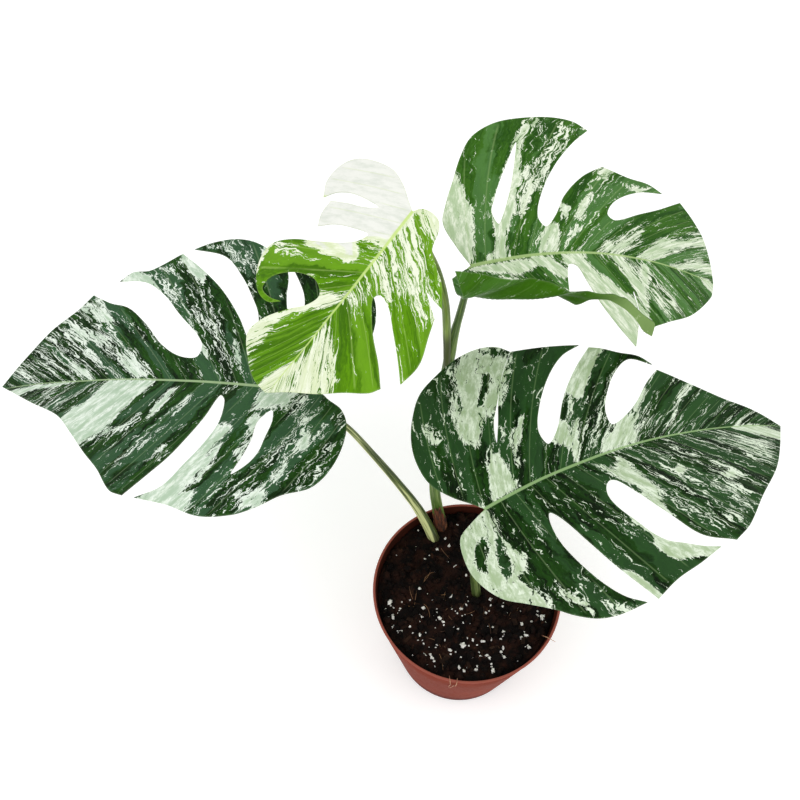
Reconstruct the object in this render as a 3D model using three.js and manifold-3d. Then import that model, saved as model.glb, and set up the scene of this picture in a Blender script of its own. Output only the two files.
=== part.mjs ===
// A young variegated monstera in a tapered nursery pot. Millimetres, +Z up.
// The origin is the centre of the circle that the pot stands on.
import * as THREE from "three";
import { mergeVertices } from "three/addons/utils/BufferGeometryUtils.js";
import Module from "manifold-3d";

const wasm = await Module();
wasm.setup();

// Pot
const POT_HEIGHT = 120;
const POT_RIM_RADIUS = 70;
const POT_FOOT_RADIUS = 50;
const POT_WALL = 1.8;
const POT_LIP_DROP = 3;
const POT_LIP_OUT = 0.6;
const POT_LIP_ROUND = 0.8;
const POT_FLOOR_UNDERSIDE = 3;
const POT_FLOOR_TOP = 5;
const POT_FOOT_WIDTH = 5;
const POT_CORNER = 1;
const POT_FLOOR_CORNER = 2;
const POT_HUB_RADIUS = 22;
const POT_HUB_SLOPE = 2;
const POT_SEGMENTS = 56;
const DRAIN_COUNT = 8;
const DRAIN_RADIUS = 4;
const DRAIN_CIRCLE = 34;
const DRAIN_SIDES = 14;

// Potting mix
const SOIL_TOP = 112;
const SOIL_LUMP = 1.2;
const SOIL_RINGS = 8;
const SOIL_SEGMENTS = 36;
const SOIL_EDGE_DROP = 1.2;
const SOIL_SIDE_CLEAR = 0.5;
const GRAIN_COUNT = 44;
const GRAIN_RADIUS = [1.1, 2.3];
const GRAIN_REACH = 62;
const BARK_COUNT = 14;
const BARK_LENGTH = [6, 12];
const BARK_WIDTH = [3, 5];
const BARK_THICKNESS = 2.4;
const BARK_REACH = 54;
const SUNK_SHARE = 0.3;
const STEM_CLEAR = 17;
const MIX_SEED = 31;

// Stems
const GAP = 0.3;
const STEM_SIDES = 8;
const STEM_STEP = 11;
const STEM_HOLE_CLEAR = 0.4;
const STEM_HOLE_SHARE = 0.4;
const SHEATH_WALL = 1;
const SHEATH_INNER_CLEAR = 0.8;
const SHEATH_HALF_ANGLE = 95;
const SHEATH_FACING = -50;
const SHEATH_NARROWING = 0.55;
const SHEATH_FLARE = 1.6;
const SHEATH_COLUMNS = 12;
const SHEATH_TOP = 133;
const SHEATH_FOOT = 96;
const SHEATH_HOLE_CLEAR = 2.9;

// Blades
const BLADE_THICKNESS = 0.9;
const EDGE_STEP = 6;
const INNER_STEP = 12;
const INNER_MARGIN = 4;
const TIP_MARGIN = 6;
const RIB_HALF_WIDTH = 2.6;
const RIB_DEPTH = 1.8;
const RIB_START = 12;
const STALK_DROP = 0.8;
const STALK_JOIN = 3;
const STALK_RUN_IN = 14;

const DEG = Math.PI / 180;

// A repeatable random draw in 0..1.
function randomDraw(seed) {
  let state = seed;
  return () => {
    state = (state * 1664525 + 1013904223) % 4294967296;
    return state / 4294967296;
  };
}

function solidFrom(geometry) {
  const bare = geometry.clone();
  bare.deleteAttribute("normal");
  bare.deleteAttribute("uv");
  const merged = mergeVertices(bare, 1e-4);
  return new wasm.Manifold(
    new wasm.Mesh({
      numProp: 3,
      vertProperties: new Float32Array(merged.attributes.position.array),
      triVerts: new Uint32Array(merged.index.array),
    }),
  );
}

function geometryFrom(solid) {
  const mesh = solid.getMesh();
  const geometry = new THREE.BufferGeometry();
  const position = new THREE.BufferAttribute(mesh.vertProperties, 3);
  geometry.setAttribute("position", position);
  geometry.setIndex(new THREE.BufferAttribute(mesh.triVerts, 1));
  return geometry;
}

function indexedGeometry(points, triangles) {
  const geometry = new THREE.BufferGeometry();
  const flat = points.flatMap((p) => [p.x, p.y, p.z]);
  geometry.setAttribute("position", new THREE.Float32BufferAttribute(flat, 3));
  geometry.setIndex(triangles.flat());
  return geometry;
}

function namedMesh(name, geometry, colour, roughness) {
  const shown = geometry.index ? geometry.toNonIndexed() : geometry;
  shown.computeVertexNormals();
  const material = new THREE.MeshStandardMaterial({
    color: colour,
    roughness,
    metalness: 0,
  });
  const mesh = new THREE.Mesh(shown, material);
  mesh.name = name;
  return mesh;
}

// Pot

function potWallRadius(z) {
  return POT_FOOT_RADIUS + ((POT_RIM_RADIUS - POT_FOOT_RADIUS) * z) / POT_HEIGHT;
}

// The floor is raised in a ring that holds the drain holes, and flat on the ground at its middle.
function potOutline() {
  const inner = (z) => potWallRadius(z) - POT_WALL;
  const lipZ = POT_HEIGHT - POT_LIP_DROP;
  const footInner = POT_FOOT_RADIUS - POT_FOOT_WIDTH;
  const floorCorner = POT_FLOOR_TOP + POT_FLOOR_CORNER;
  return [
    [0, 0],
    [POT_HUB_RADIUS, 0],
    [POT_HUB_RADIUS + POT_HUB_SLOPE, POT_FLOOR_UNDERSIDE],
    [footInner - POT_CORNER, POT_FLOOR_UNDERSIDE],
    [footInner, 0],
    [POT_FOOT_RADIUS - POT_CORNER, 0],
    [potWallRadius(POT_CORNER), POT_CORNER],
    [potWallRadius(lipZ) - POT_LIP_OUT, lipZ],
    [potWallRadius(lipZ), lipZ + POT_LIP_OUT],
    [POT_RIM_RADIUS, POT_HEIGHT - POT_LIP_ROUND],
    [POT_RIM_RADIUS - POT_LIP_ROUND, POT_HEIGHT],
    [inner(POT_HEIGHT), POT_HEIGHT],
    [inner(lipZ), POT_HEIGHT - POT_LIP_ROUND],
    [inner(floorCorner), floorCorner],
    [inner(POT_FLOOR_TOP) - POT_FLOOR_CORNER, POT_FLOOR_TOP],
    [POT_HUB_RADIUS + POT_HUB_SLOPE, POT_FLOOR_TOP],
    [POT_HUB_RADIUS, POT_FLOOR_TOP - POT_FLOOR_UNDERSIDE],
    [0, POT_FLOOR_TOP - POT_FLOOR_UNDERSIDE],
  ];
}

function potSolid() {
  const profile = potOutline().map(([r, z]) => new THREE.Vector2(r, z));
  const lathe = new THREE.LatheGeometry(profile, POT_SEGMENTS);
  lathe.rotateX(Math.PI / 2);
  let solid = solidFrom(lathe);
  for (let i = 0; i < DRAIN_COUNT; i++) {
    const angle = (i * 2 * Math.PI) / DRAIN_COUNT;
    const depth = 2 * POT_FLOOR_TOP;
    const drill = new THREE.CylinderGeometry(DRAIN_RADIUS, DRAIN_RADIUS, depth, DRAIN_SIDES);
    drill.rotateX(Math.PI / 2);
    const [x, y] = [DRAIN_CIRCLE * Math.cos(angle), DRAIN_CIRCLE * Math.sin(angle)];
    drill.translate(x, y, POT_FLOOR_TOP);
    solid = solid.subtract(solidFrom(drill));
  }
  return solid;
}

// Stems: round rods along a curve

class StemCurve {
  constructor(points, radii) {
    this.curve = new THREE.CatmullRomCurve3(points, false, "centripetal");
    this.radii = radii;
    this.length = this.curve.getLength();
  }

  radiusAt(share) {
    const place = share * (this.radii.length - 1);
    const low = Math.min(Math.floor(place), this.radii.length - 2);
    const part = place - low;
    return this.radii[low] * (1 - part) + this.radii[low + 1] * part;
  }

  // Sections from one share of the length to another, each with two side directions.
  sections(from = 0, to = 1) {
    const count = Math.max(2, Math.round(((to - from) * this.length) / STEM_STEP));
    const made = [];
    let side = new THREE.Vector3(1, 0, 0);
    for (let i = 0; i <= count; i++) {
      const share = from + ((to - from) * i) / count;
      const tangent = this.curve.getTangentAt(share);
      side = side.clone().addScaledVector(tangent, -side.dot(tangent)).normalize();
      const other = new THREE.Vector3().crossVectors(tangent, side);
      made.push({ centre: this.curve.getPointAt(share), side, other, share });
    }
    return made;
  }
}

function rodGeometry(stem, extra = 0, from = 0, to = 1) {
  const sections = stem.sections(from, to);
  const points = [];
  const triangles = [];
  for (const { centre, side, other, share } of sections) {
    const radius = stem.radiusAt(share) + extra;
    for (let k = 0; k < STEM_SIDES; k++) {
      const angle = (k * 2 * Math.PI) / STEM_SIDES;
      const point = centre.clone().addScaledVector(side, radius * Math.cos(angle));
      points.push(point.addScaledVector(other, radius * Math.sin(angle)));
    }
  }
  const last = (sections.length - 1) * STEM_SIDES;
  for (let i = 0; i < sections.length - 1; i++) {
    for (let k = 0; k < STEM_SIDES; k++) {
      const a = i * STEM_SIDES + k;
      const b = i * STEM_SIDES + ((k + 1) % STEM_SIDES);
      triangles.push([a, b, b + STEM_SIDES], [a, b + STEM_SIDES, a + STEM_SIDES]);
    }
  }
  for (let k = 1; k < STEM_SIDES - 1; k++) {
    triangles.push([0, k + 1, k], [last, last + k, last + k + 1]);
  }
  return indexedGeometry(points, triangles);
}

const at = (x, y, z) => new THREE.Vector3(x, y, z);

// Blades
//
// A blade is drawn flat: u runs along its midrib from the leaf stalk to the tip, v across it,
// positive to the left of the way to the tip. A third value of 1 marks a sharp corner.
// droop and sweep turn the midrib down and sideways, in degrees per 100 mm. The rows of left
// and right are [vein, rise, curl] for each half: how steeply the veins that leave the midrib
// at that place rise from it, and how they curl per 100 mm. slant is how far those veins run
// forward for each millimetre outward, on the left and on the right.

const BLADES = {
  left: {
    base: [-105, 82, 257],
    heading: 175.3,
    pitch: 5.1,
    roll: 1.4,
    droop: 13,
    sweep: -1.7,
    length: 243,
    slant: [0.45, 0.45],
    left: [[-60, 12.7, -13], [243, 10.7, -9]],
    right: [[-60, 17.1, -13], [243, 15.1, -9]],
    outline: [
      [244, -2, 1], [224, -24], [208, -42], [189, -56], [178, -68, 1],
      [162, -60], [146, -55], [130, -42], [116, -27], [101, -18], [88, -18], [87, -29],
      [107, -50], [121, -65], [138, -76], [159, -78, 1],
      [150, -85], [136, -86], [115, -100, 1],
      [97, -86], [79, -69], [64, -49], [54, -31], [49, -27], [51, -51], [58, -66],
      [68, -82], [83, -98], [107, -104, 1],
      [95, -110], [80, -114], [67, -113], [54, -107], [42, -98, 1],
      [36, -86], [34, -66], [30, -53], [23, -49], [21, -60], [24, -74], [36, -96, 1],
      [23, -102], [6, -101], [-11, -93], [-24, -78], [-28, -62], [-27, -46], [-20, -26],
      [-9, -10], [0, 0, 1],
      [-5, 5], [-14, 12], [-19, 25], [-18, 44], [-12, 64], [-3, 77], [13, 85], [26, 95],
      [39, 102], [58, 105], [78, 99], [98, 96, 1],
      [84, 87], [74, 69], [66, 52], [61, 35], [62, 16], [66, 11], [71, 30], [77, 46],
      [85, 64], [94, 78], [106, 95, 1],
      [115, 92], [128, 77], [142, 64], [158, 48], [176, 32], [207, 17], [232, 4],
    ],
    holes: [
      [[30, 20], [37, 31], [38, 46], [41, 60], [45, 74], [37, 66], [32, 56], [30, 44], [28, 30]],
    ],
  },
  centre: {
    base: [-48, 131, 381],
    heading: 229.1,
    pitch: -24.9,
    roll: 12.1,
    droop: 12,
    sweep: -11.3,
    length: 143,
    slant: [0.45, 0.45],
    left: [[-60, 6.9, -16], [154, 4.9, -14]],
    right: [[-60, 6.9, -16], [154, 4.9, -14]],
    outline: [
      [143, -2, 1], [145, -16], [140, -31], [130, -43], [114, -40], [96, -29], [84, -19],
      [74, -16], [69, -26], [74, -40], [82, -50], [92, -57], [101, -57], [101, -48], [96, -37, 1],
      [104, -46], [105, -58], [98, -69], [86, -75], [73, -73], [60, -60], [50, -43], [41, -28],
      [33, -18], [26, -15], [29, -28], [34, -40], [42, -50, 1],
      [34, -54], [23, -54, 1],
      [18, -42], [14, -30], [9, -21], [9, -32], [11, -44], [16, -54], [24, -61, 1],
      [14, -67], [2, -67], [-7, -63], [-13, -55], [-16, -42], [-16, -29], [-11, -17], [-5, -8],
      [0, 0, 1],
      [-4, 4], [-5, 12], [-3, 20], [2, 25], [12, 29], [18, 38], [24, 49], [34, 60, 1],
      [33, 51], [32, 45], [36, 52], [40, 60, 1],
      [48, 64], [62, 71], [75, 70, 1],
      [67, 58], [58, 43], [51, 31], [49, 20], [53, 17], [60, 24], [68, 35], [76, 50], [84, 62, 1],
      [90, 58], [101, 44], [114, 30], [128, 13],
    ],
    holes: [],
  },
  front_right: {
    base: [1, -3, 263],
    heading: 31.9,
    pitch: 4.3,
    roll: -9.6,
    droop: 12,
    sweep: -7.1,
    length: 229,
    slant: [0.45, 0.45],
    left: [[-60, 12, -13], [226, 10, -9]],
    right: [[-60, 9.1, -13], [226, 7.1, -9]],
    outline: [
      [230, 0, 1], [211, 13], [190, 24], [172, 37], [154, 52, 1],
      [142, 43], [128, 30], [114, 21], [103, 18], [104, 29], [113, 43], [126, 57], [140, 65],
      [153, 57, 1],
      [147, 66], [136, 72], [126, 79], [119, 82, 1],
      [101, 66], [84, 48], [69, 28], [58, 20], [57, 31], [67, 48], [84, 68], [100, 81],
      [114, 86, 1],
      [94, 92], [74, 96, 1],
      [62, 82], [49, 64], [38, 46], [28, 34], [36, 49], [46, 65], [59, 85], [70, 98, 1],
      [66, 106], [55, 110], [40, 109], [26, 104], [9, 95], [-4, 80], [-13, 65], [-18, 50],
      [-19, 33], [-13, 18], [-5, 7], [0, 0, 1],
      [-13, -4], [-24, -9], [-31, -24], [-33, -39], [-28, -57], [-17, -69], [-6, -80],
      [3, -90], [14, -98], [28, -102], [46, -103, 1],
      [36, -94], [29, -80], [25, -63], [24, -46], [27, -31], [31, -25], [35, -34], [39, -55],
      [44, -76], [54, -104, 1],
      [74, -98], [95, -94], [114, -89, 1],
      [93, -84], [78, -72], [69, -58], [69, -44], [70, -31], [75, -22], [81, -22], [88, -36],
      [97, -57], [108, -77], [129, -87, 1],
      [146, -79], [171, -60], [197, -40], [216, -19],
    ],
    holes: [],
  },
  back_right: {
    base: [-10, 133, 331],
    heading: 25.4,
    pitch: -8.5,
    roll: 15.8,
    droop: 12,
    sweep: -10.4,
    length: 218,
    slant: [0.45, 1],
    left: [[-60, 8.4, -10], [216, 6.4, -6]],
    right: [
      [-90, 18, 140], [-50, 18, 118], [-30, 2, 120], [4, -4, 146], [18, -4, 118],
      [30, -12, 110], [42, 2, -4], [216, 4, -6],
    ],
    outline: [
      [218, 0, 1], [214, 16], [207, 33], [196, 45], [184, 55, 1],
      [162, 43], [143, 35], [119, 26], [113, 30], [122, 41], [144, 52], [167, 57, 1],
      [155, 61], [137, 62], [117, 67, 1],
      [99, 57], [82, 42], [71, 27], [61, 19], [57, 26], [64, 42], [80, 64], [98, 83],
      [112, 95, 1],
      [103, 101], [88, 103], [67, 101], [47, 97], [30, 88], [19, 75], [8, 58], [-2, 43],
      [-8, 31], [-5, 14], [0, 0, 1],
      [-9, -10], [-18, -24], [-22, -40], [-20, -54], [-13, -63], [-4, -61], [6, -58], [14, -58],
      [24, -63], [34, -66], [46, -58], [58, -51], [70, -58], [82, -66], [97, -74, 1],
      [86, -58], [78, -42], [72, -26], [70, -14], [73, -8], [78, -10], [82, -22], [88, -38],
      [98, -54], [110, -68, 1],
      [117, -52], [120, -38], [118, -27], [122, -26], [124, -40], [122, -58, 1],
      [135, -52], [150, -47], [182, -35], [211, -13],
    ],
    holes: [
      [[28, 24], [34, 31], [39, 39], [45, 50], [50, 61], [54, 71], [58, 82], [54, 77], [46, 65],
        [37, 52], [31, 42], [26, 33]],
    ],
  },
};

// Value of a table at a place, eased between its rows.
function eased(rows, place) {
  if (place <= rows[0][0]) return rows[0].slice(1);
  if (place >= rows[rows.length - 1][0]) return rows[rows.length - 1].slice(1);
  const next = rows.findIndex((row) => row[0] > place);
  const [low, high] = [rows[next - 1], rows[next]];
  const part = (place - low[0]) / (high[0] - low[0]);
  const ease = part * part * (3 - 2 * part);
  return low.slice(1).map((value, i) => value * (1 - ease) + high[i + 1] * ease);
}

const sineArc = (turn, u) => (Math.abs(turn) < 1e-9 ? u : Math.sin(turn * u) / turn);
const cosineArc = (turn, u) => (Math.abs(turn) < 1e-9 ? 0 : (1 - Math.cos(turn * u)) / turn);

// A flat blade point bent into space.
function bladePoint(blade, u, v) {
  const width = Math.abs(v);
  const vein = u - blade.slant[v >= 0 ? 0 : 1] * width;
  const [rise, curl] = eased(v >= 0 ? blade.left : blade.right, vein);
  const down = (blade.droop * DEG) / 100;
  const aside = (blade.sweep * DEG) / 100;
  const spine = at(
    (sineArc(down - aside, u) + sineArc(down + aside, u)) / 2,
    (cosineArc(down + aside, u) - cosineArc(down - aside, u)) / 2,
    -cosineArc(down, u),
  );
  const [a, b] = [down * u, aside * u];
  const side = at(-Math.sin(b), Math.cos(b), 0);
  const up = at(Math.sin(a) * Math.cos(b), Math.sin(a) * Math.sin(b), Math.cos(a));
  const bend = Math.abs(curl) < 1e-4 ? 1e-6 : (curl * DEG) / 100;
  const start = rise * DEG;
  const lateral = (Math.sin(start + bend * width) - Math.sin(start)) / bend;
  const lift = (Math.cos(start) - Math.cos(start + bend * width)) / bend;
  return spine.addScaledVector(side, Math.sign(v) * lateral).addScaledVector(up, lift);
}

// Places the bent blade: heading in plan, pitch up, roll about its own length.
function bladeMatrix(blade) {
  const [h, p, r] = [blade.heading * DEG, blade.pitch * DEG, blade.roll * DEG];
  const forward = at(Math.cos(h) * Math.cos(p), Math.sin(h) * Math.cos(p), Math.sin(p));
  const level = at(-Math.sin(h), Math.cos(h), 0);
  const upright = new THREE.Vector3().crossVectors(forward, level);
  const side = level.clone().multiplyScalar(Math.cos(r)).addScaledVector(upright, Math.sin(r));
  const normal = new THREE.Vector3().crossVectors(forward, side);
  return new THREE.Matrix4()
    .makeBasis(forward, side, normal)
    .setPosition(...blade.base);
}

// A closed outline through its points: smooth except at the marked corners.
function smoothLoop(points, step) {
  const count = points.length;
  const loop = [];
  const vector = (p) => new THREE.Vector2(p[0], p[1]);
  for (let i = 0; i < count; i++) {
    const [before, start, end, after] = [-1, 0, 1, 2].map((k) => points[(i + k + count) % count]);
    const [p0, p1, p2, p3] = [before, start, end, after].map(vector);
    if (start[2]) p0.copy(p1).addScaledVector(p2.clone().sub(p1), -0.5);
    if (end[2]) p3.copy(p2).addScaledVector(p2.clone().sub(p1), 0.5);
    const span = p1.distanceTo(p2);
    const leaving = p2.clone().sub(p0).multiplyScalar(span / (p0.distanceTo(p1) + span));
    const arriving = p3.clone().sub(p1).multiplyScalar(span / (span + p2.distanceTo(p3)));
    const parts = Math.max(1, Math.round(span / step));
    for (let k = 0; k < parts; k++) {
      const t = k / parts;
      const point = p1.clone().multiplyScalar(2 * t ** 3 - 3 * t ** 2 + 1);
      point.addScaledVector(leaving, t ** 3 - 2 * t ** 2 + t);
      point.addScaledVector(p2, -2 * t ** 3 + 3 * t ** 2);
      point.addScaledVector(arriving, t ** 3 - t ** 2);
      loop.push(point);
    }
  }
  return loop;
}

const turnOf = (a, b, c) => (b.x - a.x) * (c.y - a.y) - (b.y - a.y) * (c.x - a.x);

// True where d lies inside the circle through a, b and c (anticlockwise).
function insideCircle(a, b, c, d) {
  const rows = [a, b, c].map((p) => [p.x - d.x, p.y - d.y]);
  const [[ax, ay], [bx, by], [cx, cy]] = rows;
  const [a2, b2, c2] = rows.map(([x, y]) => x * x + y * y);
  const value = ax * (by * c2 - b2 * cy) - ay * (bx * c2 - b2 * cx) + a2 * (bx * cy - by * cx);
  return value > 1e-6;
}

// Triangles of a flat region with holes and inner points, evened out by edge flips.
class FlatMesh {
  constructor(loops) {
    this.points = loops.flat();
    this.fixed = new Set();
    this.triangles = new Set();
    this.edges = new Map();
    let first = 0;
    for (const loop of loops) {
      for (let i = 0; i < loop.length; i++) {
        const pair = [first + i, first + ((i + 1) % loop.length)];
        this.fixed.add(this.key(...pair)).add(this.key(pair[1], pair[0]));
      }
      first += loop.length;
    }
    for (const [a, b, c] of THREE.ShapeUtils.triangulateShape(loops[0], loops.slice(1))) {
      if (turnOf(...[a, b, c].map((i) => this.points[i])) > 0) this.add(a, b, c);
      else this.add(a, c, b);
    }
    this.relax([...this.edges.keys()]);
  }

  key(a, b) {
    return a * 100000 + b;
  }

  edgesOf([a, b, c]) {
    return [this.key(a, b), this.key(b, c), this.key(c, a)];
  }

  add(a, b, c) {
    const triangle = [a, b, c];
    this.triangles.add(triangle);
    for (const edge of this.edgesOf(triangle)) this.edges.set(edge, triangle);
  }

  remove(triangle) {
    this.triangles.delete(triangle);
    for (const edge of this.edgesOf(triangle)) this.edges.delete(edge);
  }

  relax(keys) {
    const queue = [...keys];
    while (queue.length) {
      const key = queue.pop();
      const [a, b] = [Math.floor(key / 100000), key % 100000];
      const near = this.edges.get(key);
      const far = this.edges.get(this.key(b, a));
      if (!near || !far || this.fixed.has(key)) continue;
      const c = near.find((i) => i !== a && i !== b);
      const d = far.find((i) => i !== a && i !== b);
      const [pa, pb, pc, pd] = [a, b, c, d].map((i) => this.points[i]);
      if (!insideCircle(pa, pb, pc, pd)) continue;
      if (turnOf(pc, pa, pd) < 1e-6 || turnOf(pd, pb, pc) < 1e-6) continue;
      this.remove(near);
      this.remove(far);
      this.add(c, a, d);
      this.add(d, b, c);
      queue.push(this.key(c, a), this.key(a, d), this.key(d, b), this.key(b, c));
    }
  }

  insert(point) {
    for (const triangle of this.triangles) {
      const [a, b, c] = triangle;
      const [pa, pb, pc] = triangle.map((i) => this.points[i]);
      const areas = [turnOf(pa, pb, point), turnOf(pb, pc, point), turnOf(pc, pa, point)];
      if (Math.min(...areas) < 0) continue;
      if (Math.min(...areas) < 0.5) return;
      const made = this.points.push(point) - 1;
      this.remove(triangle);
      this.add(a, b, made);
      this.add(b, c, made);
      this.add(c, a, made);
      this.relax([this.key(a, b), this.key(b, c), this.key(c, a)]);
      return;
    }
  }
}

function distanceToLoops(loops, point) {
  let least = Infinity;
  const line = new THREE.Line3();
  const probe = at(point.x, point.y, 0);
  const nearest = at(0, 0, 0);
  for (const loop of loops) {
    loop.forEach((p, i) => {
      const q = loop[(i + 1) % loop.length];
      line.set(at(p.x, p.y, 0), at(q.x, q.y, 0));
      line.closestPointToPoint(probe, true, nearest);
      least = Math.min(least, nearest.distanceTo(probe));
    });
  }
  return least;
}

function flatMeshOf(blade) {
  const loops = [blade.outline, ...blade.holes].map((points) => smoothLoop(points, EDGE_STEP));
  const mesh = new FlatMesh(loops);
  const bounds = new THREE.Box2().setFromPoints(loops[0]);
  const place = (u, v, margin) => {
    const point = new THREE.Vector2(u, v);
    if (distanceToLoops(loops, point) > margin) mesh.insert(point);
  };
  for (let u = RIB_START; u < blade.length - TIP_MARGIN; u += INNER_STEP) {
    for (const v of [0, RIB_HALF_WIDTH, -RIB_HALF_WIDTH]) place(u, v, 1);
  }
  const rowStep = (INNER_STEP * Math.sqrt(3)) / 2;
  for (let row = 1; row * rowStep < bounds.max.y; row++) {
    const shift = (row % 2) * (INNER_STEP / 2);
    for (let u = bounds.min.x + shift; u < bounds.max.x; u += INNER_STEP) {
      place(u, row * rowStep, INNER_MARGIN);
      place(u, -row * rowStep, INNER_MARGIN);
    }
  }
  return { mesh, loops };
}

function ribDepth(blade, u, v) {
  if (Math.abs(v) > 0.5 || u < RIB_START - 1 || u > blade.length - TIP_MARGIN) return 0;
  return RIB_DEPTH * (1 - (0.7 * u) / blade.length);
}

function bladeNormal(blade, u, v) {
  const step = 0.5;
  const keep = v >= 0 ? Math.max(v, step) : Math.min(v, -step);
  const alongU = bladePoint(blade, u + step, v).sub(bladePoint(blade, u - step, v));
  const alongV = bladePoint(blade, u, keep + step).sub(bladePoint(blade, u, keep - step));
  return alongU.cross(alongV).normalize();
}

function midribNormal(blade, u) {
  return bladeNormal(blade, u, 1).add(bladeNormal(blade, u, -1)).normalize();
}

function bladeGeometry(blade) {
  const { mesh, loops } = flatMeshOf(blade);
  const matrix = bladeMatrix(blade);
  const upper = [];
  const lower = [];
  for (const { x: u, y: v } of mesh.points) {
    const centre = bladePoint(blade, u, v);
    const normal = Math.abs(v) < 0.5 ? midribNormal(blade, u) : bladeNormal(blade, u, v);
    const half = BLADE_THICKNESS / 2;
    upper.push(centre.clone().addScaledVector(normal, half).applyMatrix4(matrix));
    const depth = half + ribDepth(blade, u, v);
    lower.push(centre.clone().addScaledVector(normal, -depth).applyMatrix4(matrix));
  }
  const count = upper.length;
  const triangles = [];
  for (const [a, b, c] of mesh.triangles) {
    triangles.push([a, b, c], [a + count, c + count, b + count]);
  }
  let first = 0;
  loops.forEach((loop) => {
    for (let i = 0; i < loop.length; i++) {
      const a = first + i;
      const b = first + ((i + 1) % loop.length);
      const [p, q] = mesh.edges.has(mesh.key(a, b)) ? [b, a] : [a, b];
      triangles.push([p, q, q + count], [p, q + count, p + count]);
    }
    first += loop.length;
  });
  return indexedGeometry([...upper, ...lower], triangles);
}

// The end of a leaf stalk under a blade's base, and a point before it, straight below the blade.
function stalkEnd(blade) {
  const matrix = bladeMatrix(blade);
  const normal = midribNormal(blade, STALK_JOIN);
  const centre = bladePoint(blade, STALK_JOIN, 0);
  return [STALK_RUN_IN, BLADE_THICKNESS / 2 + GAP + STALK_DROP].map((depth) =>
    centre.clone().addScaledVector(normal, -depth).applyMatrix4(matrix),
  );
}

// Leaf stalks

const stalks = {
  left: new StemCurve(
    [at(-23, 40, 92), at(-25, 43, 109), at(-37, 58, 131), at(-52, 69, 152), at(-71, 77, 182),
      at(-89, 82, 212), ...stalkEnd(BLADES.left)],
    [5, 4.6, 3.6, 3, 2.6, 2.4, 2.3],
  ),
  front_right: new StemCurve(
    [at(9, 0, 92), at(7, 0, 115), at(2, 1, 160), at(-2, 1, 210), ...stalkEnd(BLADES.front_right)],
    [3.8, 3.5, 3, 2.6, 2.4],
  ),
  back_right: new StemCurve(
    [at(-17.5, 54, 92), at(-19, 55, 108), at(-20.5, 56.5, 122), at(-23, 60.5, 136),
      at(-25.5, 68, 152), at(-24.5, 103, 192), at(-20, 123, 224), at(-16, 140, 245),
      at(-12, 146, 270), at(-10, 145, 296), ...stalkEnd(BLADES.back_right)],
    [4.4, 4.4, 4.2, 4, 4, 4.1, 4.2, 4, 2.8, 2.5, 2.3, 2.2],
  ),
  centre: new StemCurve(
    [at(-20, 124, 229), at(-21, 136, 250), at(-24, 141.5, 283), at(-30, 142.5, 312),
      at(-40, 139, 345), ...stalkEnd(BLADES.centre)],
    [2.4, 2.9, 2.8, 2.6, 2.4, 2.2],
  ),
};

// The back right stalk sheathes the foot of the centre one.
function stalkSolid(name) {
  const solid = solidFrom(rodGeometry(stalks[name]));
  if (name !== "back_right") return solid;
  return solid.subtract(solidFrom(rodGeometry(stalks.centre, STEM_HOLE_CLEAR)));
}

// Dried sheath: an open papery wrap round the foot of the back right stalk

function sheathGeometry() {
  const stem = stalks.back_right;
  const rows = stem.sections(0.005, 0.19).filter(
    ({ centre }) => centre.z > SHEATH_FOOT && centre.z < SHEATH_TOP,
  );
  const points = [];
  const triangles = [];
  rows.forEach(({ centre, side, other, share }, row) => {
    const height = row / (rows.length - 1);
    const half = SHEATH_HALF_ANGLE * (1 - SHEATH_NARROWING * height ** 2);
    for (const wall of [0, SHEATH_WALL]) {
      for (let k = 0; k <= SHEATH_COLUMNS; k++) {
        const angle = DEG * (SHEATH_FACING + half * ((2 * k) / SHEATH_COLUMNS - 1));
        const clear = SHEATH_INNER_CLEAR + wall + SHEATH_FLARE * height ** 3;
        const radius = stem.radiusAt(share) + clear;
        const point = centre.clone().addScaledVector(side, radius * Math.cos(angle));
        points.push(point.addScaledVector(other, radius * Math.sin(angle)));
      }
    }
  });
  const span = SHEATH_COLUMNS + 1;
  const index = (row, wall, k) => (row * 2 + wall) * span + k;
  const quad = (a, b, c, d) => triangles.push([a, b, c], [a, c, d]);
  const top = rows.length - 1;
  const last = SHEATH_COLUMNS;
  for (let row = 0; row < top; row++) {
    const above = row + 1;
    for (let k = 0; k < last; k++) {
      quad(index(row, 1, k), index(row, 1, k + 1), index(above, 1, k + 1), index(above, 1, k));
      quad(index(row, 0, k + 1), index(row, 0, k), index(above, 0, k), index(above, 0, k + 1));
    }
    quad(index(row, 0, 0), index(row, 1, 0), index(above, 1, 0), index(above, 0, 0));
    quad(index(row, 1, last), index(row, 0, last), index(above, 0, last), index(above, 1, last));
  }
  for (let k = 0; k < last; k++) {
    quad(index(0, 0, k), index(0, 0, k + 1), index(0, 1, k + 1), index(0, 1, k));
    quad(index(top, 1, k), index(top, 1, k + 1), index(top, 0, k + 1), index(top, 0, k));
  }
  return indexedGeometry(points, triangles);
}

// Potting mix

// Height of the uneven top of the mix.
function soilHeight(x, y) {
  const wide = Math.sin(x / 9 + 1.3) * Math.cos(y / 11);
  const fine = Math.sin(x / 4.1 - y / 5.3);
  return SOIL_TOP + SOIL_LUMP * (0.6 * wide + 0.4 * fine);
}

// Points round a circle, turned by half a step on odd rings.
function soilRing(ring, radius, height) {
  const points = [];
  for (let k = 0; k < SOIL_SEGMENTS; k++) {
    const angle = ((k + (ring % 2) / 2) * 2 * Math.PI) / SOIL_SEGMENTS;
    const [x, y] = [radius * Math.cos(angle), radius * Math.sin(angle)];
    points.push(at(x, y, height(x, y)));
  }
  return points;
}

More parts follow.
